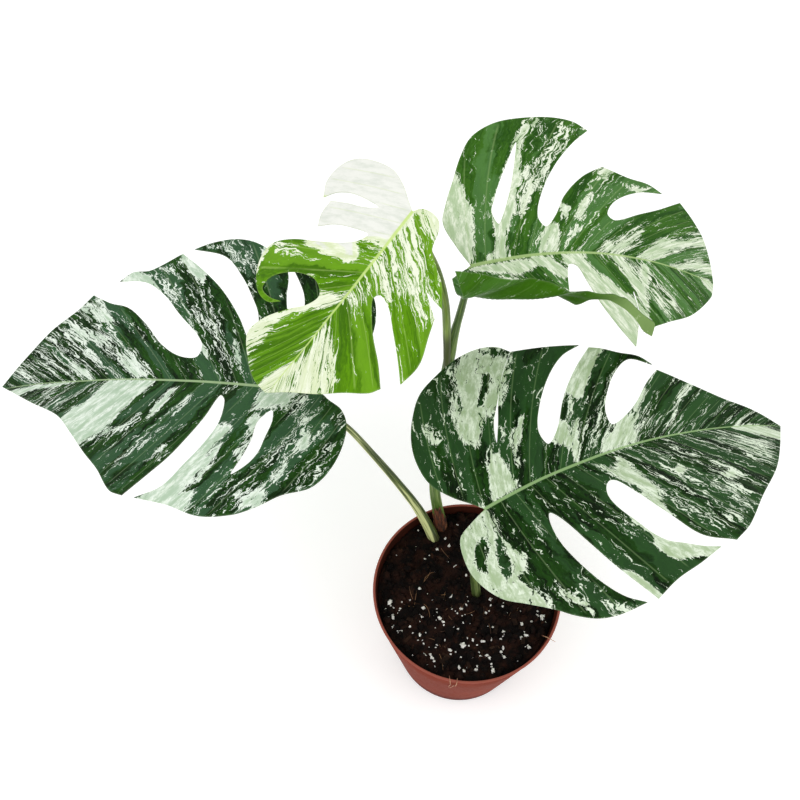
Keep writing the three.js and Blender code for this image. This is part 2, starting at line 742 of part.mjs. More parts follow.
// The mix fills the pot from its floor to the uneven top.
function soilBody() {
  const wallRadius = (z) => potWallRadius(z) - POT_WALL - SOIL_SIDE_CLEAR;
  const floor = POT_FLOOR_TOP + GAP;
  const topRadius = wallRadius(SOIL_TOP - 2 * SOIL_EDGE_DROP);
  const points = [at(0, 0, soilHeight(0, 0))];
  for (let ring = 1; ring <= SOIL_RINGS; ring++) {
    const share = ring / SOIL_RINGS;
    const height = (x, y) => soilHeight(x, y) - SOIL_EDGE_DROP * share ** 6;
    points.push(...soilRing(ring, topRadius * share, height));
  }
  points.push(...soilRing(0, wallRadius(floor) - POT_FLOOR_CORNER, () => floor));
  points.push(...soilRing(0, POT_HUB_RADIUS + POT_HUB_SLOPE, () => floor));
  const hubFloor = floor - POT_FLOOR_UNDERSIDE;
  points.push(...soilRing(0, POT_HUB_RADIUS - SOIL_SIDE_CLEAR, () => hubFloor));
  points.push(at(0, 0, hubFloor));
  const triangles = [];
  const ringStart = (ring) => 1 + (ring - 1) * SOIL_SEGMENTS;
  const rings = SOIL_RINGS + 3;
  for (let k = 0; k < SOIL_SEGMENTS; k++) {
    const next = (k + 1) % SOIL_SEGMENTS;
    triangles.push([0, ringStart(1) + k, ringStart(1) + next]);
    for (let ring = 1; ring < rings; ring++) {
      const [a, b] = [ringStart(ring) + k, ringStart(ring) + next];
      const [c, d] = [ringStart(ring + 1) + k, ringStart(ring + 1) + next];
      if (ring % 2 || ring >= SOIL_RINGS) triangles.push([a, c, d], [a, d, b]);
      else triangles.push([a, c, b], [b, c, d]);
    }
    triangles.push([points.length - 1, ringStart(rings) + next, ringStart(rings) + k]);
  }
  return solidFrom(indexedGeometry(points, triangles));
}

// A draw of places on the mix that keep clear of the stems.
function placeDraw(draw) {
  const feet = ["left", "front_right", "back_right"].map((name) => stalks[name].curve.points[1]);
  return (reach) => {
    for (;;) {
      const radius = reach * Math.sqrt(draw());
      const angle = 2 * Math.PI * draw();
      const [x, y] = [radius * Math.cos(angle), radius * Math.sin(angle)];
      if (feet.every((foot) => Math.hypot(x - foot.x, y - foot.y) > STEM_CLEAR)) return [x, y];
    }
  };
}

function soilSolid() {
  const draw = randomDraw(MIX_SEED);
  const between = ([low, high]) => low + (high - low) * draw();
  const place = placeDraw(draw);
  let solid = soilBody();
  for (let i = 0; i < GRAIN_COUNT; i++) {
    const radius = between(GRAIN_RADIUS);
    const grain = new THREE.IcosahedronGeometry(radius, 0);
    grain.scale(1, between([0.75, 1.25]), 0.8);
    grain.rotateZ(2 * Math.PI * draw());
    const [x, y] = place(GRAIN_REACH);
    grain.translate(x, y, soilHeight(x, y) - SUNK_SHARE * radius);
    solid = solid.add(solidFrom(grain));
  }
  for (let i = 0; i < BARK_COUNT; i++) {
    const chip = new THREE.BoxGeometry(between(BARK_LENGTH), between(BARK_WIDTH), BARK_THICKNESS);
    chip.rotateY(between([-0.2, 0.2]));
    chip.rotateZ(2 * Math.PI * draw());
    const [x, y] = place(BARK_REACH);
    chip.translate(x, y, soilHeight(x, y) - SUNK_SHARE);
    solid = solid.add(solidFrom(chip));
  }
  const holes = { left: STEM_HOLE_CLEAR, front_right: STEM_HOLE_CLEAR, back_right: SHEATH_HOLE_CLEAR };
  for (const [name, clear] of Object.entries(holes)) {
    const hole = rodGeometry(stalks[name], clear, 0, STEM_HOLE_SHARE);
    solid = solid.subtract(solidFrom(hole));
  }
  return solid;
}

// Assembly

const COLOURS = {
  pot: 0xa5573d,
  soil: 0x1d1412,
  sheath: 0x6b4426,
  stalk: 0x66752b,
  darkLeaf: 0x2c5a35,
  limeLeaf: 0x7fae22,
  midLeaf: 0x3c7a34,
};

const plant = new THREE.Group();
plant.name = "potted_variegated_monstera";
plant.add(
  namedMesh("pot", geometryFrom(potSolid()), COLOURS.pot, 0.5),
  namedMesh("potting_mix", geometryFrom(soilSolid()), COLOURS.soil, 0.95),
  namedMesh("dried_sheath", sheathGeometry(), COLOURS.sheath, 0.8),
);
for (const name of Object.keys(stalks)) {
  plant.add(namedMesh(`petiole_${name}`, geometryFrom(stalkSolid(name)), COLOURS.stalk, 0.45));
}
const leafColours = {
  left: COLOURS.darkLeaf,
  centre: COLOURS.limeLeaf,
  front_right: COLOURS.darkLeaf,
  back_right: COLOURS.midLeaf,
};
for (const name of Object.keys(BLADES)) {
  plant.add(namedMesh(`blade_${name}`, bladeGeometry(BLADES[name]), leafColours[name], 0.4));
}

export default plant;
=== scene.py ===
import math
import random
import bpy
import bmesh
import numpy as np
from mathutils import Matrix, Vector, noise


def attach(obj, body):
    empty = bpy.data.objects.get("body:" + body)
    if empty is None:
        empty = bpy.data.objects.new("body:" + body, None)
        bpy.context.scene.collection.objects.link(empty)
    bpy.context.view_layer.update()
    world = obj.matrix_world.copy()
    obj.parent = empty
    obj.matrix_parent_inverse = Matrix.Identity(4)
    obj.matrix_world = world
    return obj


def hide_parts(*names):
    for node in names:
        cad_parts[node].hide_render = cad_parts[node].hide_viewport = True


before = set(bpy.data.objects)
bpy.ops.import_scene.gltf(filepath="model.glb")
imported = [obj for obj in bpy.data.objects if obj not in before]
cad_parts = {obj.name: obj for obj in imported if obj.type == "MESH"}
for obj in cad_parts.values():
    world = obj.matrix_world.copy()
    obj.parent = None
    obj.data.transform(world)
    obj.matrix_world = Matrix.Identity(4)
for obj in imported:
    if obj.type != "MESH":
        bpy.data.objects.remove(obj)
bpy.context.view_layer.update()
print("stage: frame loaded")

mm = 0.001


# Colours are written as six hex digits and used as linear values.
def colour(digits):
    parts = [int(digits[i:i + 2], 16) / 255 for i in (0, 2, 4)]
    linear = [p / 12.92 if p <= 0.04045 else ((p + 0.055) / 1.055) ** 2.4 for p in parts]
    return (*linear, 1)


# A short way to lay shader nodes down and join them.
class Shader:
    def __init__(self, tree):
        self.tree = tree

    def node(self, kind, inputs=None, **settings):
        made = self.tree.nodes.new(kind)
        for key, value in settings.items():
            setattr(made, key, value)
        for key, value in (inputs or {}).items():
            self.put(made.inputs[key], value)
        return made

    def put(self, socket, value):
        if isinstance(value, bpy.types.NodeSocket):
            self.tree.links.new(value, socket)
        elif isinstance(value, str):
            socket.default_value = colour(value)
        else:
            socket.default_value = value

    def math(self, operation, a, b=0.0):
        return self.node("ShaderNodeMath", {0: a, 1: b}, operation=operation).outputs[0]

    def plus(self, a, b):
        return self.math("ADD", a, b)

    def minus(self, a, b):
        return self.math("SUBTRACT", a, b)

    def times(self, a, b):
        return self.math("MULTIPLY", a, b)

    def vector(self, operation, a, b):
        return self.node("ShaderNodeVectorMath", {0: a, 1: b}, operation=operation).outputs[0]

    def shift(self, place, by):
        return self.vector("ADD", place, by)

    def stretch(self, place, by):
        return self.vector("MULTIPLY", place, by)

    def parts(self, vector):
        return self.node("ShaderNodeSeparateXYZ", {0: vector}).outputs

    def mix(self, share, a, b):
        return self.node("ShaderNodeMix", {0: share, 6: a, 7: b}, data_type="RGBA").outputs[2]

    def blend(self, share, a, b):
        return self.node("ShaderNodeMix", {0: share, 2: a, 3: b}).outputs[0]

    def step(self, value, low, high, start=0.0, end=1.0):
        ends = {0: value, 1: low, 2: high, 3: start, 4: end}
        return self.node("ShaderNodeMapRange", ends, interpolation_type="SMOOTHSTEP").outputs[0]

    def noise(self, place, scale, detail=2.0, rough=0.5, bend=0.0):
        inputs = {"Vector": place, "Scale": scale, "Detail": detail, "Roughness": rough}
        return self.node("ShaderNodeTexNoise", {**inputs, "Distortion": bend}).outputs[0]

    def attribute(self, name, output="Vector"):
        return self.node("ShaderNodeAttribute", attribute_name=name).outputs[output]

    def bump(self, height, strength, distance):
        inputs = {"Height": height, "Strength": strength, "Distance": distance}
        return self.node("ShaderNodeBump", inputs).outputs[0]

    def coordinates(self):
        return self.node("ShaderNodeTexCoord").outputs["Object"]

    def surface(self, body, rough, specular=0.5, normal=None):
        inputs = self.tree.nodes["Principled BSDF"].inputs
        values = {"Base Color": body, "Roughness": rough, "Specular IOR Level": specular}
        if normal is not None:
            values["Normal"] = normal
        for title, value in values.items():
            self.put(inputs[title], value)


def newMaterial(name):
    material = bpy.data.materials.new(name)
    material.use_nodes = True
    return material, Shader(material.node_tree)


def pieceFrom(name, mesh, materials, nodes):
    piece = bpy.data.objects.new(name, mesh)
    bpy.context.scene.collection.objects.link(piece)
    for material in materials:
        mesh.materials.append(material)
    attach(piece, "root")
    if nodes:
        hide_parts(*nodes)
    return piece


def meshFrom(name, shape, smooth=True):
    bmesh.ops.recalc_face_normals(shape, faces=shape.faces)
    for face in shape.faces:
        face.smooth = smooth
    mesh = bpy.data.meshes.new(name)
    shape.to_mesh(mesh)
    shape.free()
    return mesh


def storeValues(mesh, name, values):
    kind = "FLOAT_VECTOR" if values.ndim == 2 else "FLOAT"
    layer = mesh.attributes.new(name, kind, "POINT")
    key = "vector" if values.ndim == 2 else "value"
    layer.data.foreach_set(key, values.astype(np.float32).ravel())


# Camera
view = {"place": (-0.053, -0.262, 0.802), "down": 58.0, "roll": 1.3, "width": 45.0}


def makeCamera():
    down, roll = math.radians(view["down"]), math.radians(view["roll"])
    forward = Vector((0, math.cos(down), -math.sin(down)))
    up = Vector((0, math.sin(down), math.cos(down)))
    right = Vector((1, 0, 0))
    across = right * math.cos(roll) + up * math.sin(roll)
    above = up * math.cos(roll) - right * math.sin(roll)
    data = bpy.data.cameras.new("camera")
    data.sensor_fit = "HORIZONTAL"
    data.angle = math.radians(view["width"])
    data.clip_end = 20
    camera = bpy.data.objects.new("camera", data)
    bpy.context.scene.collection.objects.link(camera)
    turn = Matrix((across, above, -forward)).transposed()
    camera.matrix_world = Matrix.Translation(view["place"]) @ turn.to_4x4()
    bpy.context.scene.camera = camera


makeCamera()
print("stage: camera")

# Pot
pot = {
    "height": 120, "rim": 70, "foot": 50, "wall": 1.8, "floorUnder": 3, "floorTop": 5,
    "footWidth": 5, "hub": 22, "hubSlope": 2, "floorCorner": 2, "steps": 128,
    "drains": 8, "drainRadius": 4, "drainCircle": 34, "drainSides": 24,
    "body": "742c1a", "light": "843825", "dark": "55190d", "lipHighlight": "96564a", "dust": "8f5a46",
    # The last colour here is painted shade for the inside of the wall.
    "innerShade": "2b1610",
}


def potRadius(z):
    return pot["foot"] + (pot["rim"] - pot["foot"]) * z / pot["height"]


def spunProfile(shape, profile, steps):
    corners = [shape.verts.new((r * mm, 0, z * mm)) for r, z in profile]
    edges = [shape.edges.new(pair) for pair in zip(corners, corners[1:])]
    bmesh.ops.spin(
        shape, geom=corners + edges, cent=(0, 0, 0), axis=(0, 0, 1),
        angle=2 * math.pi, steps=steps, use_merge=True, use_duplicate=False,
    )


def circleEdges(shape, centre, radius, z, steps):
    corners = []
    for k in range(steps):
        angle = 2 * math.pi * k / steps
        x, y = centre[0] + radius * math.cos(angle), centre[1] + radius * math.sin(angle)
        corners.append(shape.verts.new((x * mm, y * mm, z * mm)))
    return [shape.edges.new((corners[k - 1], corners[k])) for k in range(steps)]


def makePot():
    wall, height = pot["wall"], pot["height"]
    inner = lambda z: potRadius(z) - wall
    footInner = pot["foot"] - pot["footWidth"]
    hubEdge = pot["hub"] + pot["hubSlope"]
    floorEdge = inner(pot["floorTop"]) - pot["floorCorner"]
    corner = pot["floorTop"] + pot["floorCorner"]
    shape = bmesh.new()
    outside = [
        (footInner - 1, pot["floorUnder"]), (footInner - 0.3, pot["floorUnder"] - 0.4),
        (footInner, 0.3), (footInner + 0.3, 0), (pot["foot"] - 1, 0),
        (pot["foot"] - 0.3, 0.25), (potRadius(1), 1), (potRadius(2), 2),
        (potRadius(30), 30), (potRadius(60), 60), (potRadius(90), 90),
        (potRadius(116.2) - 0.1, 116.2), (potRadius(117) - 0.55, 116.9),
        (potRadius(117.4) - 0.5, 117.3), (potRadius(117.8), 117.8), (potRadius(118.6), 118.6),
        (69.95, 119.3), (69.6, 119.8), (69.1, 120), (68.6, 120), (68.25, 119.8),
        (inner(119.2), 119.2), (inner(110), 110), (inner(60), 60), (inner(corner), corner),
        (inner(corner) - 0.7, pot["floorTop"] + 0.6), (floorEdge, pot["floorTop"]),
    ]
    under = [(0, 0), (pot["hub"], 0), (hubEdge, pot["floorUnder"])]
    over = [(hubEdge, pot["floorTop"]), (pot["hub"], 2), (0, 2)]
    for profile in (outside, under, over):
        spunProfile(shape, profile, pot["steps"])
    turns = [2 * math.pi * k / pot["drains"] for k in range(pot["drains"])]
    holes = [(pot["drainCircle"] * math.cos(a), pot["drainCircle"] * math.sin(a)) for a in turns]
    for z, edge in ((pot["floorUnder"], footInner - 1), (pot["floorTop"], floorEdge)):
        edges = circleEdges(shape, (0, 0), hubEdge, z, pot["steps"])
        edges += circleEdges(shape, (0, 0), edge, z, pot["steps"])
        for hole in holes:
            edges += circleEdges(shape, hole, pot["drainRadius"], z, pot["drainSides"])
        bmesh.ops.triangle_fill(shape, edges=edges, use_beauty=True, normal=(0, 0, 1))
    bmesh.ops.remove_doubles(shape, verts=shape.verts, dist=1e-5)
    reach = (pot["drainRadius"] + 0.2) * mm
    for hole in holes:
        near = lambda vert: (vert.co.xy - Vector(hole) * mm).length < reach
        rims = [e for e in shape.edges if len(e.link_faces) == 1 and all(map(near, e.verts))]
        bmesh.ops.bridge_loops(shape, edges=rims)
    mesh = meshFrom("potShell", shape)
    mesh.set_sharp_from_angle(angle=math.radians(38))
    pieceFrom("potShell", mesh, [potMaterial()], ["pot"])


def potMaterial():
    material, s = newMaterial("potPlastic")
    place = s.coordinates()
    height = s.parts(place)[2]
    broad = s.noise(place, 14, 4, 0.6)
    fine = s.noise(place, 420, 3, 0.6)
    body = s.mix(s.step(broad, 0.35, 0.68), pot["body"], pot["light"])
    body = s.mix(s.step(height, 0.028, 0.0), body, pot["dark"])
    # Painted highlight: a lighter band along the top of the lip.
    lipHighlightShare = s.step(height, 0.1186, 0.1195)
    body = s.mix(s.times(lipHighlightShare, 0.75), body, pot["lipHighlight"])
    dust = s.step(s.noise(place, 60, 5, 0.7), 0.6, 0.78)
    body = s.mix(s.times(dust, 0.35), body, pot["dust"])
    # Painted shade on the inside: places nearer to the axis than the middle of the wall are
    # darkened.
    out = s.stretch(place, (1, 1, 0))
    length = s.node("ShaderNodeVectorMath", {0: out}, operation="LENGTH").outputs[1]
    slope = (pot["rim"] - pot["foot"]) / pot["height"]
    wallHere = s.plus(s.times(height, slope), (pot["foot"] - pot["wall"] / 2) * mm)
    wallHere = s.minus(wallHere, s.step(height, 0.1190, 0.1197, 0, 0.002))
    within = s.step(s.minus(wallHere, length), -0.0003, 0.0003)
    innerShadeShare = s.times(within, s.blend(s.step(broad, 0.3, 0.7), 0.8, 0.98))
    body = s.mix(innerShadeShare, body, pot["innerShade"])
    rough = s.blend(s.step(fine, 0.3, 0.7), 0.6, 0.75)
    s.surface(body, rough, 0.06, s.bump(fine, 0.25, 0.0002))
    return material


makePot()
print("stage: pot")

# Leaf stalks: rings carried along smooth curves, with the radii they have on the way
stalkSettings = {
    "sides": 24, "step": 2.0, "foot": "2a280c", "spots": "5a4a26", "swell": 0.03,
    "swellLength": 14, "groove": 0.16, "grooveAngle": 1.1, "grooveWidth": 0.5,
    "knee": 0.12, "kneeShare": 0.93, "kneeWidth": 0.03,
}


class StalkCurve:
    def __init__(self, points, radii):
        ends = [2 * np.array(points[0]) - points[1], 2 * np.array(points[-1]) - points[-2]]
        self.points = np.array([ends[0], *points, ends[1]], float)
        self.radii = np.array(radii, float)
        places = np.linspace(0, len(points) - 1, 60 * (len(points) - 1) + 1)
        self.dense = np.array([self.at(t) for t in places])
        steps = np.linalg.norm(np.diff(self.dense, axis=0), axis=1)
        self.run = np.concatenate([[0], np.cumsum(steps)])
        self.length = self.run[-1]

    def at(self, t):
        i = min(int(t), len(self.points) - 4)
        p = self.points[i:i + 4]
        gaps = [max(np.linalg.norm(p[k + 1] - p[k]) ** 0.5, 1e-4) for k in range(3)]
        knots = [0, gaps[0], gaps[0] + gaps[1], sum(gaps)]
        x = knots[1] + (t - i) * gaps[1]
        line = lambda a, b, ka, kb: (a * (kb - x) + b * (x - ka)) / (kb - ka)
        a = [line(p[k], p[k + 1], knots[k], knots[k + 1]) for k in range(3)]
        b = [line(a[k], a[k + 1], knots[k], knots[k + 2]) for k in range(2)]
        return line(b[0], b[1], knots[1], knots[2])

    def sample(self, share):
        run = share * self.length
        return np.array([np.interp(run, self.run, self.dense[:, k]) for k in range(3)])

    def radius(self, share):
        return np.interp(share * (len(self.radii) - 1), range(len(self.radii)), self.radii)


def makeRod(shape, curve, sides, step, radiusOf, start=0.0, end=1.0):
    count = max(2, round((end - start) * curve.length / step))
    side = Vector((1, 0, 0))
    rings, places = [], []
    for i in range(count + 1):
        share = start + (end - start) * i / count
        here = Vector(curve.sample(share))
        ahead = Vector(curve.sample(min(1, share + 0.002)))
        tangent = (ahead - Vector(curve.sample(max(0, share - 0.002)))).normalized()
        side = (side - tangent * side.dot(tangent)).normalized()
        other = tangent.cross(side)
        ring = []
        for k in range(sides):
            angle = 2 * math.pi * k / sides
            reach = radiusOf(share, angle)
            spot = here + (side * math.cos(angle) + other * math.sin(angle)) * reach
            ring.append(shape.verts.new(spot * mm))
            places.append((math.cos(angle), math.sin(angle), share * curve.length))
        rings.append(ring)
    for low, high in zip(rings, rings[1:]):
        for k in range(sides):
            shape.faces.new((low[k - 1], low[k], high[k], high[k - 1]))
    shape.faces.new(rings[0])
    shape.faces.new(rings[-1])
    return places


# Blades
# A blade is drawn flat in millimetres: u along the midrib, v across it, positive to the left of
# the way to the tip. Outlines and holes hold u and v in turn, and each row of an outline starts
# at a sharp corner. Rows of left and right are vein, rise, curl.
bladeShapes = {
    "left": {
        "base": (-105, 82, 257), "heading": 175.3, "pitch": 5.1, "roll": 1.4, "droop": 13,
        "sweep": -1.7, "length": 243, "slant": (0.45, 0.45),
        "left": [(-60, 12.7, -13), (243, 10.7, -9)],
        "right": [(-60, 17.1, -13), (243, 15.1, -9)],
        "outline": [
            [244,-2, 224,-24, 208,-42, 189,-56],
            [178,-68, 162,-60, 146,-55, 130,-42, 116,-27, 101,-18, 88,-18, 87,-29, 107,-50,
             121,-65, 138,-76],
            [159,-78, 150,-85, 136,-86],
            [115,-100, 97,-86, 79,-69, 64,-49, 54,-31, 49,-27, 51,-51, 58,-66, 68,-82, 83,-98],
            [107,-104, 95,-110, 80,-114, 67,-113, 54,-107],
            [42,-98, 36,-86, 34,-66, 30,-53, 23,-49, 21,-60, 24,-74],
            [36,-96, 23,-102, 6,-101, -11,-93, -24,-78, -28,-62, -27,-46, -20,-26, -9,-10],
            [0,0, -5,5, -14,12, -19,25, -18,44, -12,64, -3,77, 13,85, 26,95, 39,102, 58,105,
             78,99],
            [98,96, 84,87, 74,69, 66,52, 61,35, 62,16, 66,11, 71,30, 77,46, 85,64, 94,78],
            [106,95, 115,92, 128,77, 142,64, 158,48, 176,32, 207,17, 232,4],
        ],
        "holes": [
            [30,20, 37,31, 38,46, 41,60, 45,74, 37,66, 32,56, 30,44, 28,30],
        ],
    },
    "centre": {
        "base": (-48, 131, 381), "heading": 229.1, "pitch": -24.9, "roll": 12.1, "droop": 12,
        "sweep": -11.3, "length": 143, "slant": (0.45, 0.45),
        "left": [(-60, 6.9, -16), (154, 4.9, -14)],
        "right": [(-60, 6.9, -16), (154, 4.9, -14)],
        "outline": [
            [143,-2, 145,-16, 140,-31, 130,-43, 114,-40, 96,-29, 84,-19, 74,-16, 69,-26, 74,-40,
             82,-50, 92,-57, 101,-57, 101,-48],
            [96,-37, 104,-46, 105,-58, 98,-69, 86,-75, 73,-73, 60,-60, 50,-43, 41,-28, 33,-18,
             26,-15, 29,-28, 34,-40],
            [42,-50, 34,-54],
            [23,-54, 18,-42, 14,-30, 9,-21, 9,-32, 11,-44, 16,-54],
            [24,-61, 14,-67, 2,-67, -7,-63, -13,-55, -16,-42, -16,-29, -11,-17, -5,-8],
            [0,0, -4,4, -5,12, -3,20, 2,25, 12,29, 18,38, 24,49],
            [34,60, 33,51, 32,45, 36,52],
            [40,60, 48,64, 62,71],
            [75,70, 67,58, 58,43, 51,31, 49,20, 53,17, 60,24, 68,35, 76,50],
            [84,62, 90,58, 101,44, 114,30, 128,13],
        ],
        "holes": [],
    },
    "front_right": {
        "base": (1, -3, 263), "heading": 31.9, "pitch": 4.3, "roll": -9.6, "droop": 12,
        "sweep": -7.1, "length": 229, "slant": (0.45, 0.45),
        "left": [(-60, 12, -13), (226, 10, -9)],
        "right": [(-60, 9.1, -13), (226, 7.1, -9)],
        "outline": [
            [230,0, 211,13, 190,24, 172,37],
            [154,52, 142,43, 128,30, 114,21, 103,18, 104,29, 113,43, 126,57, 140,65],
            [153,57, 147,66, 136,72, 126,79],
            [119,82, 101,66, 84,48, 69,28, 58,20, 57,31, 67,48, 84,68, 100,81],
            [114,86, 94,92],
            [72.1,97.5, 60.4,83.67, 47.35,64.97, 38.4,48.8, 34,41.5, 30,35.5, 31.4,40, 35.8,49.4,
             47.15,65.13, 60.2,83.83],
            [71.9,97.68, 66,106, 55,110, 40,109, 26,104, 9,95, -4,80, -13,65, -18,50, -19,33,
             -13,18, -5,7],
            [0,0, -13,-4, -24,-9, -31,-24, -33,-39, -28,-57, -17,-69, -6,-80, 3,-90, 14,-98,
             28,-102],
            [46,-103, 36,-94, 29,-80, 25,-63, 24,-46, 27,-31, 31,-25, 35,-34, 39,-55, 44,-76],
            [54,-104, 74,-98, 95,-94],
            [115,-88.5, 104,-85, 93,-79.5, 84,-74.5, 78,-66.5, 73.5,-54, 70.5,-45, 69.2,-37,
             70,-30, 73.5,-24, 78,-21, 82,-23, 88,-36, 97,-57, 108,-77],
            [129,-87, 146,-79, 171,-60, 197,-40, 216,-19],
        ],
        "holes": [],
    },
    "back_right": {
        "base": (-10, 133, 331), "heading": 25.4, "pitch": -8.5, "roll": 15.8, "droop": 12,
        "sweep": -10.4, "length": 218, "slant": (0.45, 1),
        "left": [(-60, 8.4, -10), (216, 6.4, -6)],
        "right": [(-90, 18, 140), (-50, 18, 118), (-30, 2, 120), (4, -4, 142), (12, -4, 118),
            (24, -8, 66), (32, -6, 60), (42, 2, -4), (216, 4, -6)],
        "outline": [
            [218,0, 214,16, 207,33, 196,45],
            [184,55, 162,43, 143,35, 119,26, 113,30, 122,41, 144,52],
            [167,57, 155,61, 137,62],
            [117,67, 99,57, 82,42, 71,27, 61,19, 57,26, 64,42, 80,64, 98,83],
            [112,95, 103,101, 88,103, 67,101, 47,97, 30,88, 19,75, 8,58, -2,43, -8,31, -5,14],
            [0,0, -7,-2],
            [-16,-5, -21,-22, -28,-42, -35,-60],
            [-38.5,-73, -34,-70.8, -29,-68, -23,-64.9, -16.8,-62, -10,-60, 0,-58.5, 12,-58.5,
             24,-63, 33,-64, 44,-55, 54,-51.5, 60,-53.6, 64.5,-56.6, 71.3,-62.2, 80.4,-66,
             88.7,-71.3, 95.2,-76.4, 98.1,-78.5],
            [100.6,-78.2, 95.3,-73.9, 89.8,-70.4, 83.4,-65.9, 75.7,-60.4, 68,-55.2, 62.5,-48,
             62,-36, 65,-24, 68.5,-13, 72,-8, 78,-10, 82,-22, 88,-38, 98,-54],
            [110,-68, 117.5,-53, 121.4,-40, 120.8,-28, 122.3,-27, 122.8,-40],
            [121.6,-57, 135,-52, 150,-47, 182,-35, 211,-13],
        ],
        "holes": [
            [28,24, 34,31, 39,39, 45,50, 50,61, 54,71, 58,82, 54,77, 46,65, 37,52, 31,42, 26,33],
        ],
    },
}

